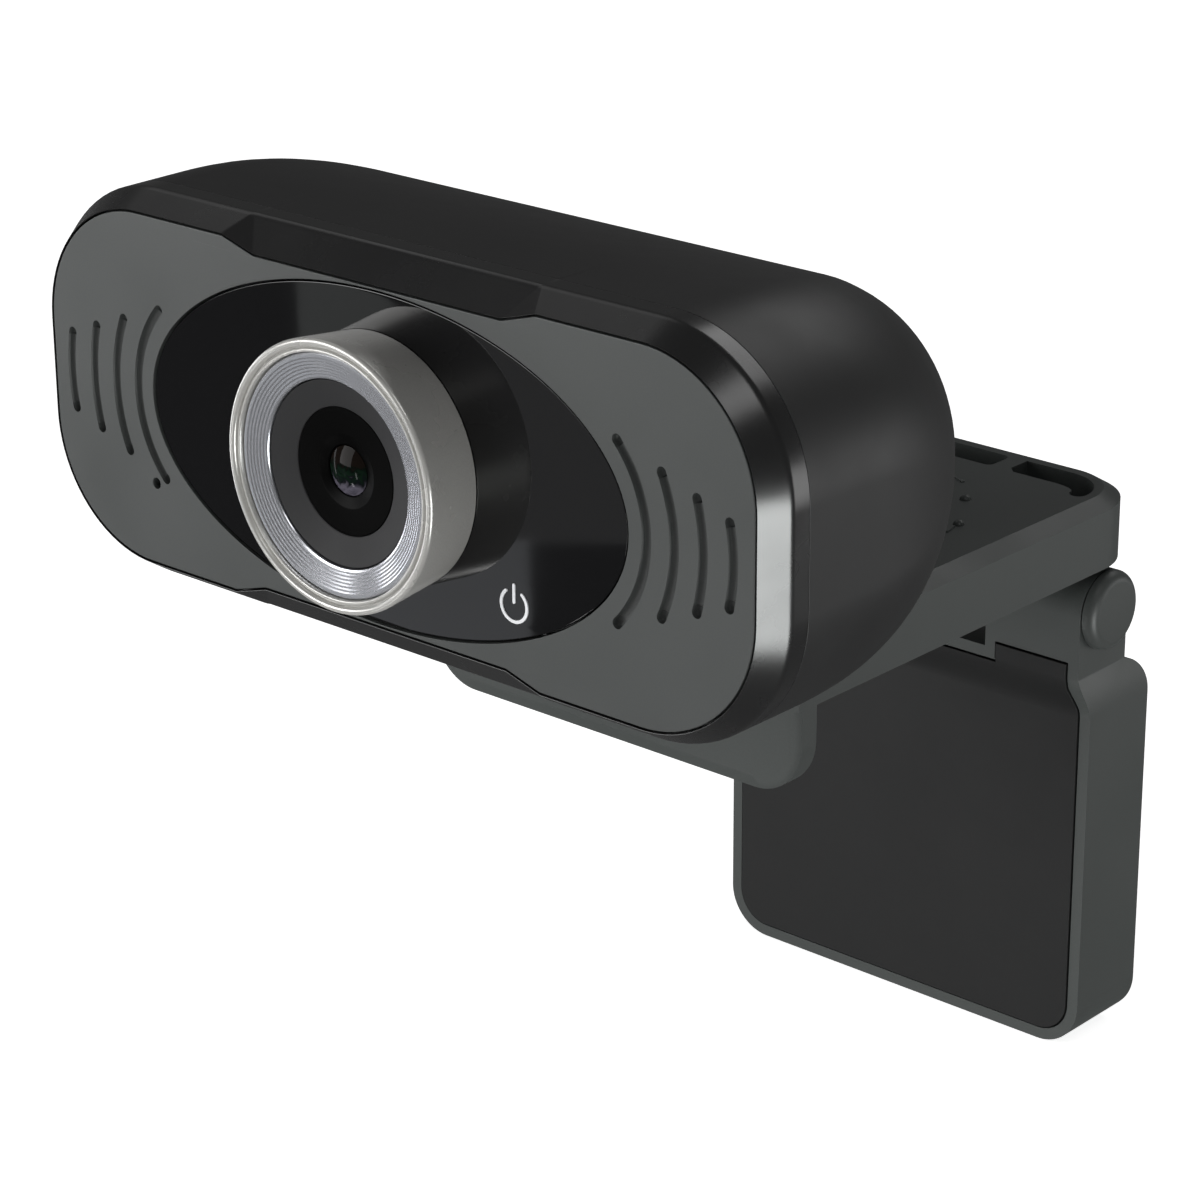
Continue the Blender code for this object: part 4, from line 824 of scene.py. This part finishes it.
# ---- swivel and clip --------------------------------------------------------------------
def make_swivel_arm():
    """Turntable, hub, arm and tilt barrel, moulded as one piece."""
    floor = TURNTABLE_TOP - TURNTABLE_T
    edge = 0.5
    profile = [(0.0, TURNTABLE_TOP)]
    profile += [(TURNTABLE_R - i, TURNTABLE_TOP - d) for i, d in reversed(rim(edge, 6))]
    hub_end = HUB_WEB_BOTTOM - 0.6
    profile += [(TURNTABLE_R, floor), (HUB_R, floor), (HUB_R, hub_end), (0.0, hub_end)]
    table = turned(profile, "Z", (0, 0), 144)
    barrel = rod(TILT_BARREL_R, "X", -TILT_BARREL_HALF, TILT_BARREL_HALF, (TILT_Y, TILT_Z), 72)
    root_y = -(TURNTABLE_R - 3.0)
    root = Vector((root_y + ARM_T, TURNTABLE_TOP))
    axis = Vector((TILT_Y, TILT_Z))
    along = (root - axis).normalized()
    across = Vector((-along.y, along.x)) * (ARM_T / 2)
    sunk = TURNTABLE_TOP - 0.7
    arm_outline = [tuple(axis + across), (root_y + 2 * ARM_T, sunk), (root_y, sunk), tuple(axis - across)]
    arm = plate([arm_outline], "X", -TILT_BARREL_HALF, TILT_BARREL_HALF)
    swivel = join(table, barrel, arm)
    pin_half = TILT_BARREL_HALF + 1
    pin_hole = rod(TILT_PIN_R + FINE_GAP, "X", -pin_half, pin_half, (TILT_Y, TILT_Z), 32)
    return soften(cut(swivel, pin_hole), 0.3)


def platform_section(inset, z):
    radius = PLATFORM_CORNER_R - inset
    half = CLIP_HALF_W - inset
    end = PLATFORM_END - inset
    outline = rounded_rectangle(-half, half, -end, end, (radius, radius, 0, 0), 18)
    return [(x, y, z) for x, y in outline]


def lip_section(inset, y):
    radius = LIP_CORNER_R - inset
    half = CLIP_HALF_W - inset
    top = PLATFORM_TOP - TOP_CHAMFER_H
    outline = rounded_rectangle(-half, half, LIP_BOTTOM + inset, top, (0, 0, radius, radius), 16)
    return [(x, y, z) for x, z in outline]


def pocket_outlines():
    """Sink pockets along the back of the platform: one in the middle, one in each corner."""
    back = PLATFORM_END - TOP_CHAMFER_W - POCKET_RIM
    front = back - POCKET_W
    rib_in, rib_out = POCKET_RIB
    corner_r = PLATFORM_CORNER_R - TOP_CHAMFER_W - POCKET_RIM
    side = CLIP_HALF_W - POCKET_END_FROM_SIDE
    centre = (side - corner_r, back - corner_r)
    end_r = POCKET_W / 4
    corner = arc(centre, corner_r, 90, 0, 16)
    corner += arc((side - end_r, centre[1]), end_r, 0, -180, 16)[1:]
    for i in range(1, 17):
        turn = math.pi / 2 * i / 16
        corner.append((side - 2 * end_r - POCKET_BEND * (1 - math.cos(turn)),
                       centre[1] + (front - centre[1]) * math.sin(turn)))
    corner += [(rib_out + 1.0, front), (rib_out, front + 1.0), (rib_out, back)]
    middle = rounded_rectangle(-rib_in, rib_in, front, back, (0.9, 0.9, 0.9, 0.9), 6)
    return [middle, corner, [(-x, y) for x, y in reversed(corner)]]


def make_clip_platform():
    chamfer_start = PLATFORM_TOP - TOP_CHAMFER_H
    platform = loft([platform_section(0.0, UNDERSIDE_Z), platform_section(0.0, chamfer_start),
                     platform_section(TOP_CHAMFER_W, PLATFORM_TOP)])
    lip = loft([lip_section(LIP_CHAMFER_W, -PLATFORM_END),
                lip_section(0.0, -PLATFORM_END + LIP_CHAMFER_DEPTH),
                lip_section(0.0, LIP_BACK)])
    knuckle = rod(HINGE_R, "X", -KNUCKLE_HALF, KNUCKLE_HALF, (HINGE_Y, HINGE_Z), 64)
    neck = block((-KNUCKLE_HALF, HINGE_Y - HINGE_R, HINGE_Z),
                 (KNUCKLE_HALF, HINGE_Y + HINGE_R, UNDERSIDE_Z + 1))
    platform = join(platform, lip, knuckle, neck)
    tools = [rod(HINGE_PIN_R + FINE_GAP, "X", -KNUCKLE_HALF - 1, KNUCKLE_HALF + 1, (HINGE_Y, HINGE_Z), 32),
             rod(TURNTABLE_R + RUN_GAP, "Z", TURNTABLE_FLOOR, PLATFORM_TOP + 1, (0, 0), 144),
             rod(HUB_R + RUN_GAP, "Z", HUB_WEB_BOTTOM - 1, TURNTABLE_FLOOR + 1, (0, 0), 64),
             rod(HUB_CAVITY_R, "Z", UNDERSIDE_Z - 1, HUB_WEB_BOTTOM, (0, 0), 64)]
    tools += [plate([o], "Z", PLATFORM_TOP - POCKET_DEPTH, PLATFORM_TOP + 1) for o in pocket_outlines()]
    half, front, back = PLATFORM_PAD
    gap = SEAT_GAP
    tools.append(block((-half - gap, front - gap, UNDERSIDE_Z - 1), (half + gap, back + gap, PAD_T + gap)))
    lip_half = LIP_PAD_HALF_W + gap
    seat_y = LIP_BACK + PAD_PROUD - LIP_PAD_T - gap
    tools.append(block((-lip_half, seat_y, LIP_PAD_LOW - gap), (lip_half, LIP_BACK + 1, LIP_PAD_HIGH + gap)))
    platform = bake(soften(cut(platform, *tools), 0.2, 3, 25))
    return join(platform, *detents())


def detents():
    """Click stops for the swivel: small domes, and short raised bars that mark its middle range."""
    pieces = []
    for side in (-1, 1):
        for degrees in DETENT_DEGREES:
            angle = math.radians(degrees)
            place = (side * DETENT_R * math.cos(angle), DETENT_R * math.sin(angle))
            ball = [(0.0, PLATFORM_TOP - 0.3), (DETENT_BALL_R, PLATFORM_TOP - 0.3)]
            ball += arc((0, PLATFORM_TOP - 0.15), DETENT_BALL_R, 0, 90, 12)
            ball[-1] = (0.0, ball[-1][1])
            pieces.append(turned(ball, "Z", place, 32))
        for radius, start, end in MARKS:
            outer = arc((0, 0), radius + MARK_HALF_W, start, end, 8)
            inner = arc((0, 0), radius - MARK_HALF_W, end, start, 8)
            low = [(side * x, y, PLATFORM_TOP - 0.2) for x, y in outer + inner]
            mid = [(side * x, y, PLATFORM_TOP + 0.12) for x, y in outer + inner]
            middle = math.radians((start + end) / 2)
            centre = (side * radius * math.cos(middle), radius * math.sin(middle))
            top = [(centre[0] + (x - centre[0]) * 0.9, centre[1] + (y - centre[1]) * 0.9, PLATFORM_TOP + 0.2)
                   for x, y, _ in mid]
            pieces.append(loft([low, mid, top]))
    return pieces


def make_platform_pad():
    half, front, back = PLATFORM_PAD
    form = Form()
    outlines = [(0.0, PAD_T)] + [(i, d) for i, d in rim(0.3)]
    rings = [form.ring([(x, y, z) for x, y in rounded_rectangle(-half + i, half - i, front + i, back - i,
                                                               (2 - i, 2 - i, 2 - i, 2 - i))])
             for i, z in outlines]
    form.skin(*rings)
    form.fill(rings[0])
    form.fill(rings[-1])
    return form.done("platform_pad")


def make_lip_pad():
    back = LIP_BACK + PAD_PROUD
    form = Form()
    places = [(0.0, back - LIP_PAD_T)] + [(i, back - d) for i, d in rim(0.3)]
    rings = []
    for i, y in places:
        half = LIP_PAD_HALF_W - i
        corner_r = 1.5 - i
        outline = rounded_rectangle(-half, half, LIP_PAD_LOW + i, LIP_PAD_HIGH - i, (corner_r,) * 4)
        rings.append(form.ring([(x, y, z) for x, z in outline]))
    form.skin(*rings)
    form.fill(rings[0])
    form.fill(rings[-1])
    return form.done("lip_pad")


def front_profile(offset, top, bottom):
    """The foot's front face in side view, top to bottom, moved back by offset."""
    ear_front = HINGE_Y - HINGE_R
    points = [(ear_front + offset, top)]
    steps = 16
    for i in range(steps + 1):
        share = i / steps
        blend = share * share * (3 - 2 * share)
        points.append((ear_front + (FOOT_FACE_Y - ear_front) * blend + offset, SHOULDER_Z - STEP_RUN * share))
    points.append((FOOT_FACE_Y + offset, bottom))
    return points


def foot_side_outline():
    """The foot from the side: round hinge ends, eased front, round shoulder behind."""
    back_r = 3.0
    ear_back = HINGE_Y + HINGE_R
    shoulder_y = FOOT_BACK_Y - SHOULDER_R
    meets = math.degrees(math.acos(max((ear_back - shoulder_y) / SHOULDER_R, 0.0)))
    points = arc((HINGE_Y, HINGE_Z), HINGE_R, 0, 180, 40)
    points += front_profile(0.0, HINGE_Z, FOOT_BOTTOM)[1:]
    points += arc((FOOT_BACK_Y - back_r, FOOT_BOTTOM + back_r), back_r, 270, 360, 12)
    return points + arc((shoulder_y, SHOULDER_Z - SHOULDER_R), SHOULDER_R, 0, meets, 20)


def foot_front_outline():
    """The foot from the front: a rounded plate with two ears and the notch between them."""
    top = HINGE_Z + HINGE_R + 1
    right = arc((FOOT_HALF_W - FOOT_CORNER_R, FOOT_BOTTOM + FOOT_CORNER_R), FOOT_CORNER_R, 270, 360, 20)
    for i in range(17):
        share = i / 16
        across = FOOT_HALF_W - (FOOT_HALF_W - EAR_OUT_X) * share * share
        right.append((across, SHOULDER_Z - SHOULDER_R * (1 - share)))
    right += [(EAR_OUT_X, top), (EAR_IN_X, top)]
    right.append((EAR_IN_X, HINGE_Z - NOTCH_BELOW))
    return right + [(-x, z) for x, z in reversed(right)]


def foot_pad_outline(grow=0.0):
    """The pad keeps a margin inside the foot's edge, with a tab up each ear."""
    half = FOOT_HALF_W - FOOT_PAD_MARGIN + grow
    tab_out = half - EAR_INSET
    tab_in = EAR_IN_X + FOOT_PAD_MARGIN - grow
    bottom = FOOT_BOTTOM + FOOT_PAD_MARGIN - grow
    tab_top = HINGE_Z - FOOT_PAD_TAB_BELOW + grow
    middle_top = HINGE_Z - NOTCH_BELOW - FOOT_PAD_MARGIN + grow
    radius = FOOT_CORNER_R - FOOT_PAD_MARGIN + grow
    right = arc((half - radius, bottom + radius), radius, 270, 360, 20)
    right += [(half, SHOULDER_Z - 4.6), (tab_out + 0.45, SHOULDER_Z - 3.2), (tab_out, SHOULDER_Z - 1.6)]
    right += [(tab_out, tab_top), (tab_in, tab_top), (tab_in, middle_top)]
    return right + [(-x, z) for x, z in reversed(right)]


def foot_pad_strip(front_offset, back_offset):
    back = list(reversed(front_profile(back_offset, HINGE_Z, FOOT_BOTTOM)))
    return front_profile(front_offset, HINGE_Z, FOOT_BOTTOM) + back


def make_clip_foot():
    reach = FOOT_HALF_W + 1
    foot = plate([foot_side_outline()], "X", -reach, reach)
    front_shape = plate([foot_front_outline()], "Y", HINGE_Y - HINGE_R - 1, FOOT_BACK_Y + 1)
    foot = combine(foot, front_shape, "INTERSECT")
    strip = plate([foot_pad_strip(-1.0, FOOT_PAD_T - FOOT_PAD_PROUD + FINE_GAP)], "X", -reach, reach)
    seat = plate([foot_pad_outline(FINE_GAP)], "Y", HINGE_Y - 20, HINGE_Y + 20)
    foot = cut(foot, combine(seat, strip, "INTERSECT"), solver="MANIFOLD")
    foot = cut(foot, rod(HINGE_PIN_R + FINE_GAP, "X", -reach, reach, (HINGE_Y, HINGE_Z), 32))
    return soften(foot, 0.25, 3, 40)


def make_foot_pad():
    reach = FOOT_HALF_W + 1
    strip = plate([foot_pad_strip(-FOOT_PAD_PROUD, FOOT_PAD_T - FOOT_PAD_PROUD)], "X", -reach, reach)
    pad = plate([foot_pad_outline(-0.1)], "Y", HINGE_Y - 20, HINGE_Y + 20)
    return soften(combine(pad, strip, "INTERSECT"), 0.1, 3, 50)


def make_hinge_cap(side):
    """A round cover on the end of the hinge pin, with a large rounding round its flat face."""
    start = EAR_OUT_X + 0.2
    end = start + CAP_T
    profile = [(0.0, end)] + arc((HINGE_R - CAP_FILLET, end - CAP_FILLET), CAP_FILLET, 90, 0, 14)
    profile += [(HINGE_R, start), (0.0, start)]
    return turned([(r, side * x) for r, x in profile], "X", (HINGE_Y, HINGE_Z), 96)


add_camera()
finish(make_front_bezel(), "visual_front_bezel", BEZEL_BLACK, "head", "front_bezel", angle=24)
finish(make_face_plate(), "visual_face_plate", FACE_GREY, "head", "face_plate", angle=12)
finish(make_face_panel(), "visual_face_panel", GLOSS_BLACK, "head", "face_panel")
finish(make_light_guide(), "visual_light_guide", LIGHT_WHITE, "head", "power_light_guide")
finish(make_lens_ring(), "visual_lens_ring", RING_SIDE, "head", "lens_ring", angle=50)
finish(make_ring_insert(), "visual_ring_insert", RING_BRIGHT, "head", "ring_insert", angle=18)
finish(make_lens_annulus(), "visual_lens_annulus", DARK_TRIM, "head", "lens_annulus")
finish(make_lens_disc(), "visual_lens_disc", DISC_BLACK, "head", "lens_disc", angle=30)
finish(make_front_lens(), "visual_front_lens", LENS_GLASS_PAINTED_REFLECTION, "head", "front_lens")
finish(make_rear_housing(), "visual_rear_housing", SHELL_BLACK, "head", "rear_housing", angle=30)
finish(make_cable_grommet(), "visual_cable_grommet", RUBBER, "head", "cable_grommet")
finish(make_swivel_arm(), "visual_swivel_arm", SHELL_BLACK, "swivel", "swivel_arm")
finish(make_clip_platform(), "visual_clip_platform", CLIP_GREY, "clip", "clip_platform")
finish(make_platform_pad(), "visual_platform_pad", RUBBER, "clip", "platform_pad")
finish(make_lip_pad(), "visual_lip_pad", RUBBER, "clip", "lip_pad")
finish(make_clip_foot(), "visual_clip_foot", CLIP_GREY, "foot", "clip_foot")
finish(make_foot_pad(), "visual_foot_pad", RUBBER, "foot", "foot_pad")
finish(make_hinge_cap(-1), "visual_hinge_cap_left", CLIP_GREY, "foot", "hinge_cap_left")
finish(make_hinge_cap(1), "visual_hinge_cap_right", CLIP_GREY, "foot", "hinge_cap_right")

CAD_LOOKS = {
    "lens_barrel": CHIP_BLACK, "rear_lens": LENS_GLASS_PAINTED_REFLECTION, "lens_holder": CHIP_BLACK,
    "camera_board": BOARD_GREEN, "image_sensor": CHIP_BLACK, "infrared_filter": LENS_GLASS_PAINTED_REFLECTION,
    "image_processor": CHIP_BLACK, "cord_connector": LIGHT_WHITE, "status_lamp": LIGHT_WHITE,
    "microphone_boot": RUBBER,
}
for name, cad in NODES.items():
    if name in CAD_LOOKS:
        look = CAD_LOOKS[name]
    elif "standoff" in name:
        look = SHELL_BLACK
    else:
        look = STEEL
    cad.data.materials.clear()
    cad.data.materials.append(look)


# ---- studio -----------------------------------------------------------------------------
def add_floor():
    bpy.ops.mesh.primitive_plane_add(size=6.0, location=(0, 0, (FOOT_BOTTOM - 0.1) * MM))
    floor = bpy.context.object
    floor.name = "floor"
    made = bpy.data.materials.new("floor_white")
    made.use_nodes = True
    shader = made.node_tree.nodes["Principled BSDF"]
    shader.inputs["Base Color"].default_value = (0.85, 0.85, 0.85, 1)
    shader.inputs["Roughness"].default_value = 0.9
    shader.inputs["Emission Color"].default_value = (1, 1, 1, 1)
    shader.inputs["Emission Strength"].default_value = 0.85
    floor.data.materials.append(made)
    floor.visible_glossy = False
    floor.visible_shadow = False


def area_light(name, place, target, size, power, colour=(1, 1, 1), mirror_only=False):
    data = bpy.data.lights.new(name, "AREA")
    data.shape = "RECTANGLE"
    data.size, data.size_y = size
    data.energy = power
    data.color = colour
    light = bpy.data.objects.new(name, data)
    bpy.context.scene.collection.objects.link(light)
    light.location = place
    light.rotation_euler = (Vector(target) - Vector(place)).to_track_quat("-Z", "Y").to_euler()
    light.visible_diffuse = not mirror_only


def add_studio():
    world = bpy.data.worlds.new("studio")
    world.use_nodes = True
    world.node_tree.nodes["Background"].inputs["Color"].default_value = (1, 1, 1, 1)
    world.node_tree.nodes["Background"].inputs["Strength"].default_value = 0.085
    bpy.context.scene.world = world
    bpy.context.scene.view_settings.view_transform = "Standard"
    middle = (0, -0.03, 0.0)
    area_light("key_front_left", (-0.95, -1.2, 0.28), middle, (0.9, 0.9), 14.4)
    area_light("top_left", (-0.8, 0.2, 0.95), middle, (0.5, 0.5), 0.4)
    area_light("top_right", (0.6, -0.4, 0.95), middle, (0.4, 0.4), 1.5)
    area_light("top_back", (0.0, 0.95, 0.9), middle, (0.9, 0.45), 2.6)
    area_light("side_right", (0.75, 0.8, -0.10), middle, (0.6, 0.35), 1.6)
    area_light("end_right", (1.0, -0.24, -0.40), middle, (0.45, 0.55), 8.5, (0.97, 1.0, 0.99), True)
    area_light("left_low", (-1.1, -0.05, -0.15), middle, (0.6, 0.6), 5.0, (0.97, 0.97, 1.0))
    area_light("fill_right_low", (1.0, -0.5, -0.30), middle, (0.4, 0.4), 0.9, (0.96, 1.0, 0.98))
    ring = (0, -0.0745, 0.0321)
    area_light("ring_stripe_left", (-0.19, -0.98, -0.33), ring, (0.05, 0.22), 0.5, (1, 1, 1), True)
    area_light("ring_stripe_up", (-0.42, -0.74, -0.62), ring, (0.08, 0.12), 0.4, (1, 1, 1), True)
    panel = (0, -0.0683, 0.025)
    area_light("card_low", (-0.8, -0.885, -0.455), panel, (0.095, 0.10), 0.022, (0.92, 0.95, 1.0), True)
    area_light("card_band", (-0.8, -0.847, -0.29), panel, (0.042, 0.20), 0.012, (0.95, 1.0, 0.98), True)
    area_light("card_right", (-0.8, -1.0, -0.36), panel, (0.13, 0.14), 0.012, (1, 1, 1), True)


add_floor()
add_studio()
